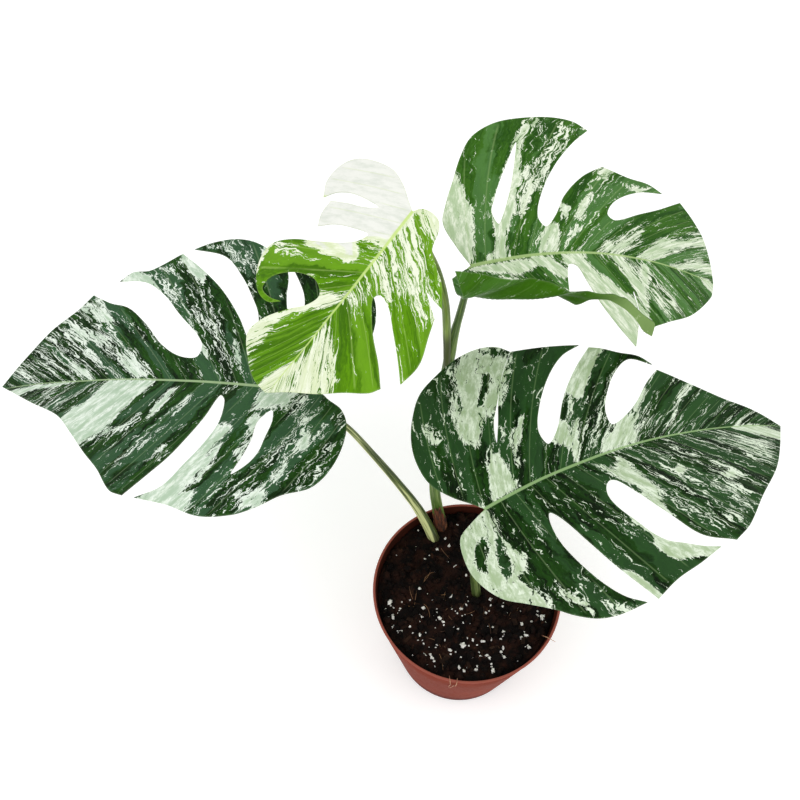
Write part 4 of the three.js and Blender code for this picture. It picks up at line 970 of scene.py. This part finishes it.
def bladePlace(name, u, v, depth):
    blade = bladeShapes[name]
    where = (np.array([float(u)]), np.array([float(v)]))
    return (bentBlade(blade, *where) - bladeNormals(blade, *where) * depth)[0]


stalkShapes = {
    "left": {
        "points": [(-21.6, 41.4, 92), (-23.8, 44, 109), (-36.5, 58.2, 131), (-52, 69, 152),
                   (-71, 77, 182), (-89, 82, 212)],
        "radii": [4.6, 4.3, 3.5, 3, 2.6, 2.4, 2.1, 1.7],
        "body": "64762f", "dark": "2f4214", "pale": "d6da9a",
        "stripe": 0.56, "side": -0.04, "seed": 2.0,
    },
    "front_right": {
        "points": [(9, 0, 92), (7, 0, 115), (2, 1, 160), (-2, 1, 210)],
        "radii": [3.8, 3.5, 3, 2.6, 2.4, 1.9],
        "body": "5f7436", "dark": "3a4d1f", "pale": "b9c488",
        "stripe": 0.3, "side": 0.0, "seed": 5.0,
    },
    "back_right": {
        "points": [(-17.5, 54, 92), (-19, 55, 108), (-20.5, 56.5, 122), (-23, 60.5, 136),
                   (-25.5, 68, 152), (-24.5, 103, 192), (-20, 123, 224), (-16, 140, 245),
                   (-12, 146, 270), (-10, 145, 296)],
        "radii": [4.4, 4.4, 4.2, 4, 4, 4.1, 4.2, 4, 2.8, 2.5, 2.3, 2.0],
        "body": "5c7a2a", "dark": "33501a", "pale": "aebf78",
        "stripe": 0.25, "side": 0.0, "seed": 9.0,
    },
    "centre": {
        "points": [(-20, 124, 229), (-21, 136, 250), (-24, 141.5, 283), (-30, 142.5, 312),
                   (-40, 139, 345)],
        "radii": [2.4, 2.9, 2.8, 2.6, 2.4, 2.0, 1.6],
        "body": "728a34", "dark": "49631f", "pale": "b4c877",
        "stripe": 0.3, "side": 0.0, "seed": 13.0,
    },
}


def stalkCurve(name):
    looks = stalkShapes[name]
    ends = [bladePlace(name, 3, 0, depth) for depth in (14, 1.9)]
    return StalkCurve(looks["points"] + ends, looks["radii"])


def stalkMaterial(name):
    looks = stalkShapes[name]
    material, s = newMaterial(name + "Stalk")
    place = s.attribute("stalk")
    drawn = s.shift(place, (looks["seed"], 0, 0))
    long = s.noise(s.stretch(drawn, (1.3, 1.3, 0.012)), 1, 3, 0.55)
    thin = s.noise(s.stretch(drawn, (5.0, 5.0, 0.05)), 1, 4, 0.6)
    spots = s.noise(s.stretch(drawn, (3.0, 3.0, 0.5)), 1, 4, 0.7)
    body = s.mix(s.step(long, 0.36, 0.62), looks["dark"], looks["body"])
    body = s.mix(s.step(thin, 0.45, 0.7, 0, 0.45), body, looks["pale"])
    aside, _, along = s.parts(place)
    # Darker towards the foot: partly the stalk's own dark brown base, partly painted shade where
    # it meets the soil.
    foot = s.times(s.step(along, 33, 19), 0.75)
    body = s.mix(foot, body, stalkSettings["foot"])
    stripe = s.plus(s.plus(long, s.times(aside, looks["side"])), looks["stripe"] - 0.5)
    stripe = s.times(s.step(stripe, 0.55, 0.66), s.step(thin, 0.3, 0.5, 0.5, 0.95))
    body = s.mix(stripe, body, looks["pale"])
    body = s.mix(s.step(spots, 0.68, 0.76, 0, 0.5), body, stalkSettings["spots"])
    s.surface(body, 0.42, 0.4, s.bump(thin, 0.3, 0.0004))
    return material


def makeStalk(name):
    looks, given = stalkShapes[name], stalkSettings
    curve = stalkCurve(name)
    shape = bmesh.new()

    def radiusOf(share, angle):
        dent = math.exp(-((angle - given["grooveAngle"]) / given["grooveWidth"]) ** 2)
        knee = math.exp(-((share - given["kneeShare"]) / given["kneeWidth"]) ** 2)
        along = Vector((share * curve.length / given["swellLength"], looks["seed"], 0))
        swell = given["swell"] * noise.noise(along)
        dent *= given["groove"] * min(1, share * 4)
        return curve.radius(share) * (1 - dent + given["knee"] * knee + swell)

    places = makeRod(shape, curve, given["sides"], given["step"], radiusOf)
    mesh = meshFrom(name + "Stalk", shape)
    storeValues(mesh, "stalk", np.array(places))
    pieceFrom(name + "Stalk", mesh, [stalkMaterial(name)], ["petiole_" + name])


for stalkName in stalkShapes:
    makeStalk(stalkName)
print("stage: stalks")

# Dried sheath: a torn papery wrap round the foot of the back right stalk. Its ragged top and its
# creases are noises, each with a gain, its scales and a seed.
sheath = {
    "facing": -88, "half": 84, "columns": 40, "rows": 26, "bottom": 99, "top": 139,
    "clear": 0.6, "wall": 0.3, "flare": 1.6, "taper": 0.22,
    "ragged": ((0.34, 5.0, 2.2), (0.12, 17, 8.2)), "crease": ((0.5, 7, 2.4, 4), (0.2, 22, 4, 9)),
    "brown": "642f17", "pale": "a8754c", "dark": "1f0e08",
}


def makeSheath():
    curve = stalkCurve("back_right")
    shares = [x / 400 for x in range(120)]
    startShare, endShare = (
        next(share for share in shares if curve.sample(share)[2] > sheath[end])
        for end in ("bottom", "top")
    )
    shape = bmesh.new()
    walls, places = [], []
    for wall in (0, sheath["wall"]):
        rows = []
        for i in range(sheath["rows"] + 1):
            rise = i / sheath["rows"]
            row = []
            for k in range(sheath["columns"] + 1):
                across = 2 * k / sheath["columns"] - 1
                ragged = sum(
                    gain * noise.noise(Vector((across * scale, seed, 0)))
                    for gain, scale, seed in sheath["ragged"]
                )
                tall = 0.95 - 0.5 * abs(across) ** 1.7 + ragged
                level = rise * max(0.3, min(1.0, tall))
                share = startShare + (endShare - startShare) * level
                here = Vector(curve.sample(share))
                ahead = Vector(curve.sample(share + 0.004))
                tangent = (ahead - here).normalized()
                side = (Vector((1, 0, 0)) - tangent * tangent.x).normalized()
                other = tangent.cross(side)
                half = sheath["half"] * (1 - sheath["taper"] * level)
                angle = math.radians(sheath["facing"] + half * across)
                crease = sum(
                    gain * noise.noise(Vector((across * wide, level * high, seed)))
                    for gain, wide, high, seed in sheath["crease"]
                )
                reach = curve.radius(share) + sheath["clear"] + wall
                reach += crease + sheath["flare"] * level ** 4
                spot = here + (side * math.cos(angle) + other * math.sin(angle)) * reach
                row.append(shape.verts.new(spot * mm))
                places.append((across * 10, level * 36, tall))
            rows.append(row)
        walls.append(rows)
    inner, outer = walls
    for rows in walls:
        for low, high in zip(rows, rows[1:]):
            for k in range(sheath["columns"]):
                shape.faces.new((low[k], low[k + 1], high[k + 1], high[k]))
    for a, b in ((inner[0], outer[0]), (inner[-1], outer[-1])):
        for k in range(sheath["columns"]):
            shape.faces.new((a[k], a[k + 1], b[k + 1], b[k]))
    for k in (0, -1):
        for i in range(sheath["rows"]):
            shape.faces.new((inner[i][k], inner[i + 1][k], outer[i + 1][k], outer[i][k]))
    mesh = meshFrom("driedSheath", shape)
    storeValues(mesh, "paper", np.array(places))
    material, s = newMaterial("driedPaper")
    place = s.attribute("paper")
    fibres = s.noise(s.stretch(place, (1.4, 0.12, 0)), 1, 4, 0.65)
    patches = s.noise(s.stretch(place, (0.3, 0.12, 0)), 1, 3, 0.6)
    body = s.mix(s.step(patches, 0.38, 0.62), sheath["dark"], sheath["brown"])
    body = s.mix(s.step(fibres, 0.5, 0.68, 0, 0.7), body, sheath["pale"])
    rim = s.math("ABSOLUTE", s.parts(place)[0])
    body = s.mix(s.step(rim, 8.4, 10, 0, 0.75), body, sheath["pale"])
    s.surface(body, 0.7, normal=s.bump(fibres, 0.5, 0.0006))
    pieceFrom("driedSheath", mesh, [material], ["dried_sheath"])


makeSheath()
print("stage: sheath")

# Potting mix: an uneven top with crumbs, perlite, bark and root fibres. Below it the mix narrows
# to a share of its radius at each height of its skirt. Crumbs, grains, chips and fibres each have
# a count, the radius they are drawn in, the largest that is kept, and the least gap to a stalk.
# Perlite holds x, y and width of the larger grains in turn.
mix = {
    "top": 112, "radius": 66.2, "step": 1.25, "turns": 220, "skirt": ((0.975, 100), (0.745, 7.5)),
    "seed": 41, "crumbs": (1700, 64.5, 64.5, 5), "grains": (150, 62, 64, 7),
    "chips": (46, 57, 60, 11), "fibres": (34, 52, 62, 12),
    "soilTones": ("080403", "24110a", "46291a"), "barkTones": ("1a0f09", "2e1c12", "5c4a3a"),
    "grainTones": ("c9c4bb", "f4f2ee", "7a6a5c"),
    "hanging": [
        [(-8, -66, 118), (-8.4, -69.6, 120.3), (-9, -70.6, 116), (-10, -68.4, 108),
         (-10.4, -66.6, 99), (-11.6, -65.2, 91)],
        [(-13.6, -64, 117.5), (-13.2, -68.8, 120.3), (-12.8, -70, 116), (-12.4, -68.2, 109),
         (-12.9, -66, 98), (-12.2, -64.4, 89)],
        [(54, -33, 117), (57, -35.5, 120.6), (60, -37.5, 121.6), (63, -39, 121.2)],
    ],
    "perlite": [
        -38.1,35.3,2, -31.1,26.4,1.6, -22,34,2.2, -12.7,37.6,2, -34.8,3,2, -10.8,-2.7,2.4,
        -4.2,-12.6,2, -19.8,-19.9,2.2, -17.6,-22.9,1.5, -33.1,-18.7,2.2, -54.5,-20,2,
        -49.1,-31.2,2.2, -10.3,-25.8,1.8, -6.6,-28.7,1.9, -3.1,-39.8,3.4, 11.5,-36.5,2.6,
        17.4,-34.9,2, 4.3,-36,2, 26.3,-31,2.2, -12.6,-43.7,2, -25.7,-49.2,2, -24.2,-52.1,1.5,
        -31.5,-47.9,1.8, -6.2,-56,2.6, -2.7,-58.8,2.2, 5.9,-57.9,2.2, 18.1,-58.3,2.2,
        26.4,-48,2, 24.4,-44.4,1.9, 40.6,-23.1,2.2, 43.2,-31.3,2, 44.9,-40.9,2.2, 52.1,-16.7,2.2,
        55.7,-18.1,3.2, -42.2,-6.6,1.4, 2.3,-22.4,1.4, -16.2,-36.4,1.3,
        14.2,-46.8,1.4,
    ],
}


def soilHeight(x, y):
    wide = math.sin(x / 9 + 1.3) * math.cos(y / 11)
    fine = math.sin(x / 4.1 - y / 5.3)
    return mix["top"] + 1.2 * (0.6 * wide + 0.4 * fine)


def soilBumps(x, y):
    lumps = 0
    for size, gain in ((6.0, 1.5), (2.6, 1.2), (1.4, 0.6)):
        lumps += gain * noise.noise(Vector((x / size, y / size, size)))
    return soilHeight(x, y) - 0.5 + lumps


# A drawn place within a radius of the middle of the pot.
def drawnPlace(draw, radius):
    reach, angle = radius * math.sqrt(draw.random()), draw.uniform(0, 2 * math.pi)
    return reach * math.cos(angle), reach * math.sin(angle)


def roughGrain(shape, centre, sizes, turn, draw, subdivisions, jagged):
    made = bmesh.ops.create_icosphere(shape, subdivisions=subdivisions, radius=1.0)["verts"]
    shift = draw.uniform(0, 90)
    for vert in made:
        bulge = 1 + jagged * noise.noise(vert.co * 1.6 + Vector((shift, 0, 0)))
        vert.co = Vector(vert.co[k] * sizes[k] * bulge for k in range(3))
        vert.co.rotate(turn)
        vert.co = (vert.co + Vector(centre)) * mm
    return made


def soilMaterial(name, dark, warm, light):
    material, s = newMaterial(name)
    place = s.coordinates()
    tone = s.noise(place, 260, 4, 0.7)
    spots = s.noise(place, 90, 3, 0.6)
    body = s.mix(s.step(spots, 0.42, 0.66), dark, warm)
    body = s.mix(s.step(tone, 0.58, 0.74, 0, 0.8), body, light)
    s.surface(body, 0.95, 0.15, s.bump(tone, 0.6, 0.0008))
    return material


def makeSoil():
    shape = bmesh.new()
    radius = mix["radius"]
    rings = int(radius / mix["step"])
    top = [(radius * i / rings, mix["top"]) for i in range(rings + 1)]
    spunProfile(shape, top, mix["turns"])
    bmesh.ops.remove_doubles(shape, verts=shape.verts, dist=1e-6)
    for vert in shape.verts:
        x, y = vert.co.x / mm, vert.co.y / mm
        share = math.hypot(x, y) / radius
        vert.co.z = (soilBumps(x, y) - 1.0 * share ** 8) * mm
    edge = [e for e in shape.edges if len(e.link_faces) == 1]
    for scale, z in mix["skirt"]:
        made = bmesh.ops.extrude_edge_only(shape, edges=edge)["geom"]
        edge = [x for x in made if isinstance(x, bmesh.types.BMEdge) and len(x.link_faces) == 1]
        for vert in (x for x in made if isinstance(x, bmesh.types.BMVert)):
            flat = vert.co.xy.normalized() * radius * scale * mm
            vert.co = (flat.x, flat.y, z * mm)
    bmesh.ops.contextual_create(shape, geom=edge)
    material = soilMaterial("soilDark", *mix["soilTones"])
    mesh = meshFrom("soilBody", shape)
    pieceFrom("soilBody", mesh, [material], ["potting_mix"])
    return material


def clearOfStalks(x, y, gap):
    feet = [looks["points"][1] for looks in stalkShapes.values() if looks["points"][0][2] < 100]
    return all(math.hypot(x - f[0], y - f[1]) > gap for f in feet)


def makeCrumbs(material):
    draw = random.Random(mix["seed"])
    shape = bmesh.new()
    count, reach, _, gap = mix["crumbs"]
    for _ in range(count):
        x, y = drawnPlace(draw, reach)
        size = 0.45 + 2.9 * draw.random() ** 5
        turn = Matrix.Rotation(draw.uniform(0, 6.3), 3, Vector((draw.random(), 1, draw.random())))
        sizes = (size * draw.uniform(0.8, 1.6), size, size * draw.uniform(0.6, 1.0))
        if clearOfStalks(x, y, gap):
            centre = (x, y, soilBumps(x, y) + size * 0.25)
            roughGrain(shape, centre, sizes, turn, draw, 1, 0.7)
    pieceFrom("soilCrumbs", meshFrom("soilCrumbs", shape), [material], [])


def makePerlite():
    draw = random.Random(mix["seed"] + 1)
    shape = bmesh.new()
    given = mix["perlite"]
    places = list(zip(given[::3], given[1::3], given[2::3]))
    count, reach, most, gap = mix["grains"]
    for _ in range(count):
        x, y = drawnPlace(draw, reach)
        size = draw.uniform(0.35, 0.8) if draw.random() < 0.78 else draw.uniform(0.8, 1.6)
        if draw.random() < 0.6:
            x, y = -x, -abs(y)
        places.append((x, y, size * 1.6))
    for x, y, wide in places:
        size = wide * 0.5
        if math.hypot(x, y) > most or not clearOfStalks(x, y, gap):
            continue
        turn = Matrix.Rotation(draw.uniform(0, 6.3), 3, Vector((draw.random(), draw.random(), 1)))
        sizes = (size * draw.uniform(0.9, 1.7), size, size * 0.8)
        centre = (x, y, soilBumps(x, y) + size * 0.5)
        roughGrain(shape, centre, sizes, turn, draw, 3, 0.95)
    material, s = newMaterial("perliteWhite")
    pits = s.noise(s.coordinates(), 900, 3, 0.6)
    dust = s.noise(s.coordinates(), 300, 3, 0.7)
    dim, bright, brown = mix["grainTones"]
    body = s.mix(s.step(pits, 0.35, 0.6), dim, bright)
    body = s.mix(s.step(dust, 0.55, 0.72, 0, 0.5), body, brown)
    s.surface(body, 0.9, normal=s.bump(pits, 0.6, 0.0004))
    pieceFrom("perliteGrains", meshFrom("perliteGrains", shape), [material], [])


def makeBark():
    draw = random.Random(mix["seed"] + 2)
    shape = bmesh.new()
    chips = []
    count, reach, most, gap = mix["chips"]
    for _ in range(count):
        spot = drawnPlace(draw, reach)
        sizes = (draw.uniform(3, 8), draw.uniform(1.4, 3.2), draw.uniform(0, 3.1))
        chips.append((*spot, *sizes))
    for x, y, length, width, angle in chips:
        if math.hypot(x, y) > most or not clearOfStalks(x, y, gap):
            continue
        made = bmesh.ops.create_cube(shape, size=1.0)["verts"]
        turn = Matrix.Rotation(angle, 3, "Z") @ Matrix.Rotation(draw.uniform(-0.25, 0.25), 3, "X")
        shift = draw.uniform(0, 80)
        for vert in made:
            wobble = 1 + 0.4 * noise.noise(vert.co * 3 + Vector((shift, 0, 0)))
            spot = Vector((vert.co.x * length, vert.co.y * width, vert.co.z * 1.6)) * wobble
            vert.co = (turn @ spot + Vector((x, y, soilBumps(x, y) + 0.35))) * mm
    material = soilMaterial("barkBrown", *mix["barkTones"])
    mesh = meshFrom("barkChips", shape, smooth=False)
    pieceFrom("barkChips", mesh, [material], [])


def makeRoots():
    draw = random.Random(mix["seed"] + 3)
    fibres = []
    count, reach, most, gap = mix["fibres"]
    for _ in range(count):
        x, y = drawnPlace(draw, reach)
        way, bend = draw.uniform(0, 6.3), draw.uniform(-0.35, 0.35)
        points = []
        for lift in (-0.4, 0.7, 0.7, 0.7, -0.4):
            if math.hypot(x, y) > most:
                break
            points.append((x, y, soilBumps(x, y) + lift))
            x, y = x + 3.2 * math.cos(way), y + 3.2 * math.sin(way)
            way += bend
        if len(points) > 3 and clearOfStalks(*points[2][:2], gap):
            fibres.append(StalkCurve(points, [0.16, 0.22, 0.22, 0.12]))
    hanging = [StalkCurve(points, [0.22, 0.3, 0.26, 0.15]) for points in mix["hanging"]]
    for name, curves, step, dark, light in (
        ("rootFibres", fibres, 1.0, "3c2416", "7d5a3c"),
        ("hangingRoots", hanging, 0.8, "6e3c2a", "b88c6e"),
    ):
        shape = bmesh.new()
        for curve in curves:
            makeRod(shape, curve, 6, step, lambda share, angle: curve.radius(share))
        material, s = newMaterial(name + "Tan")
        tone = s.noise(s.coordinates(), 120, 3, 0.6)
        s.surface(s.mix(s.step(tone, 0.4, 0.6), dark, light), 0.85)
        pieceFrom(name, meshFrom(name, shape), [material], [])


makeCrumbs(makeSoil())
makePerlite()
makeBark()
makeRoots()
print("stage: potting mix")

# Floor and light
stage = {
    "floor": 3.0, "world": 0.9, "key": 9.0, "keySize": 1.2, "keyPlace": (-0.7, -0.5, 1.7),
    "fill": 4.0, "fillPlace": (1.1, -0.2, 1.3), "glow": 0.22, "aim": (0, 0.05, 0.15),
}


def makeStage():
    shape = bmesh.new()
    bmesh.ops.create_grid(shape, x_segments=1, y_segments=1, size=stage["floor"])
    mesh = meshFrom("floor", shape, smooth=False)
    floor = bpy.data.objects.new("floor", mesh)
    floor.location.z = -0.0002
    bpy.context.scene.collection.objects.link(floor)
    material, s = newMaterial("floorPaper")
    s.surface((0.93, 0.93, 0.93, 1), 0.9, 0.1)
    principled = material.node_tree.nodes["Principled BSDF"]
    principled.inputs["Emission Color"].default_value = (1, 1, 1, 1)
    principled.inputs["Emission Strength"].default_value = stage["glow"]
    mesh.materials.append(material)
    world = bpy.data.worlds.new("world")
    world.use_nodes = True
    bpy.context.scene.world = world
    background = world.node_tree.nodes["Background"]
    background.inputs[0].default_value = (1, 1, 1, 1)
    background.inputs[1].default_value = stage["world"]
    for name in ("key", "fill"):
        light = bpy.data.lights.new(name, "AREA")
        light.energy = stage[name]
        light.size = stage["keySize"]
        lamp = bpy.data.objects.new(name, light)
        lamp.location = stage[name + "Place"]
        aim = Vector(stage["aim"]) - lamp.location
        lamp.rotation_euler = aim.to_track_quat("-Z", "Y").to_euler()
        bpy.context.scene.collection.objects.link(lamp)
    bpy.context.scene.view_settings.view_transform = "Standard"


makeStage()
print("stage: floor and light")
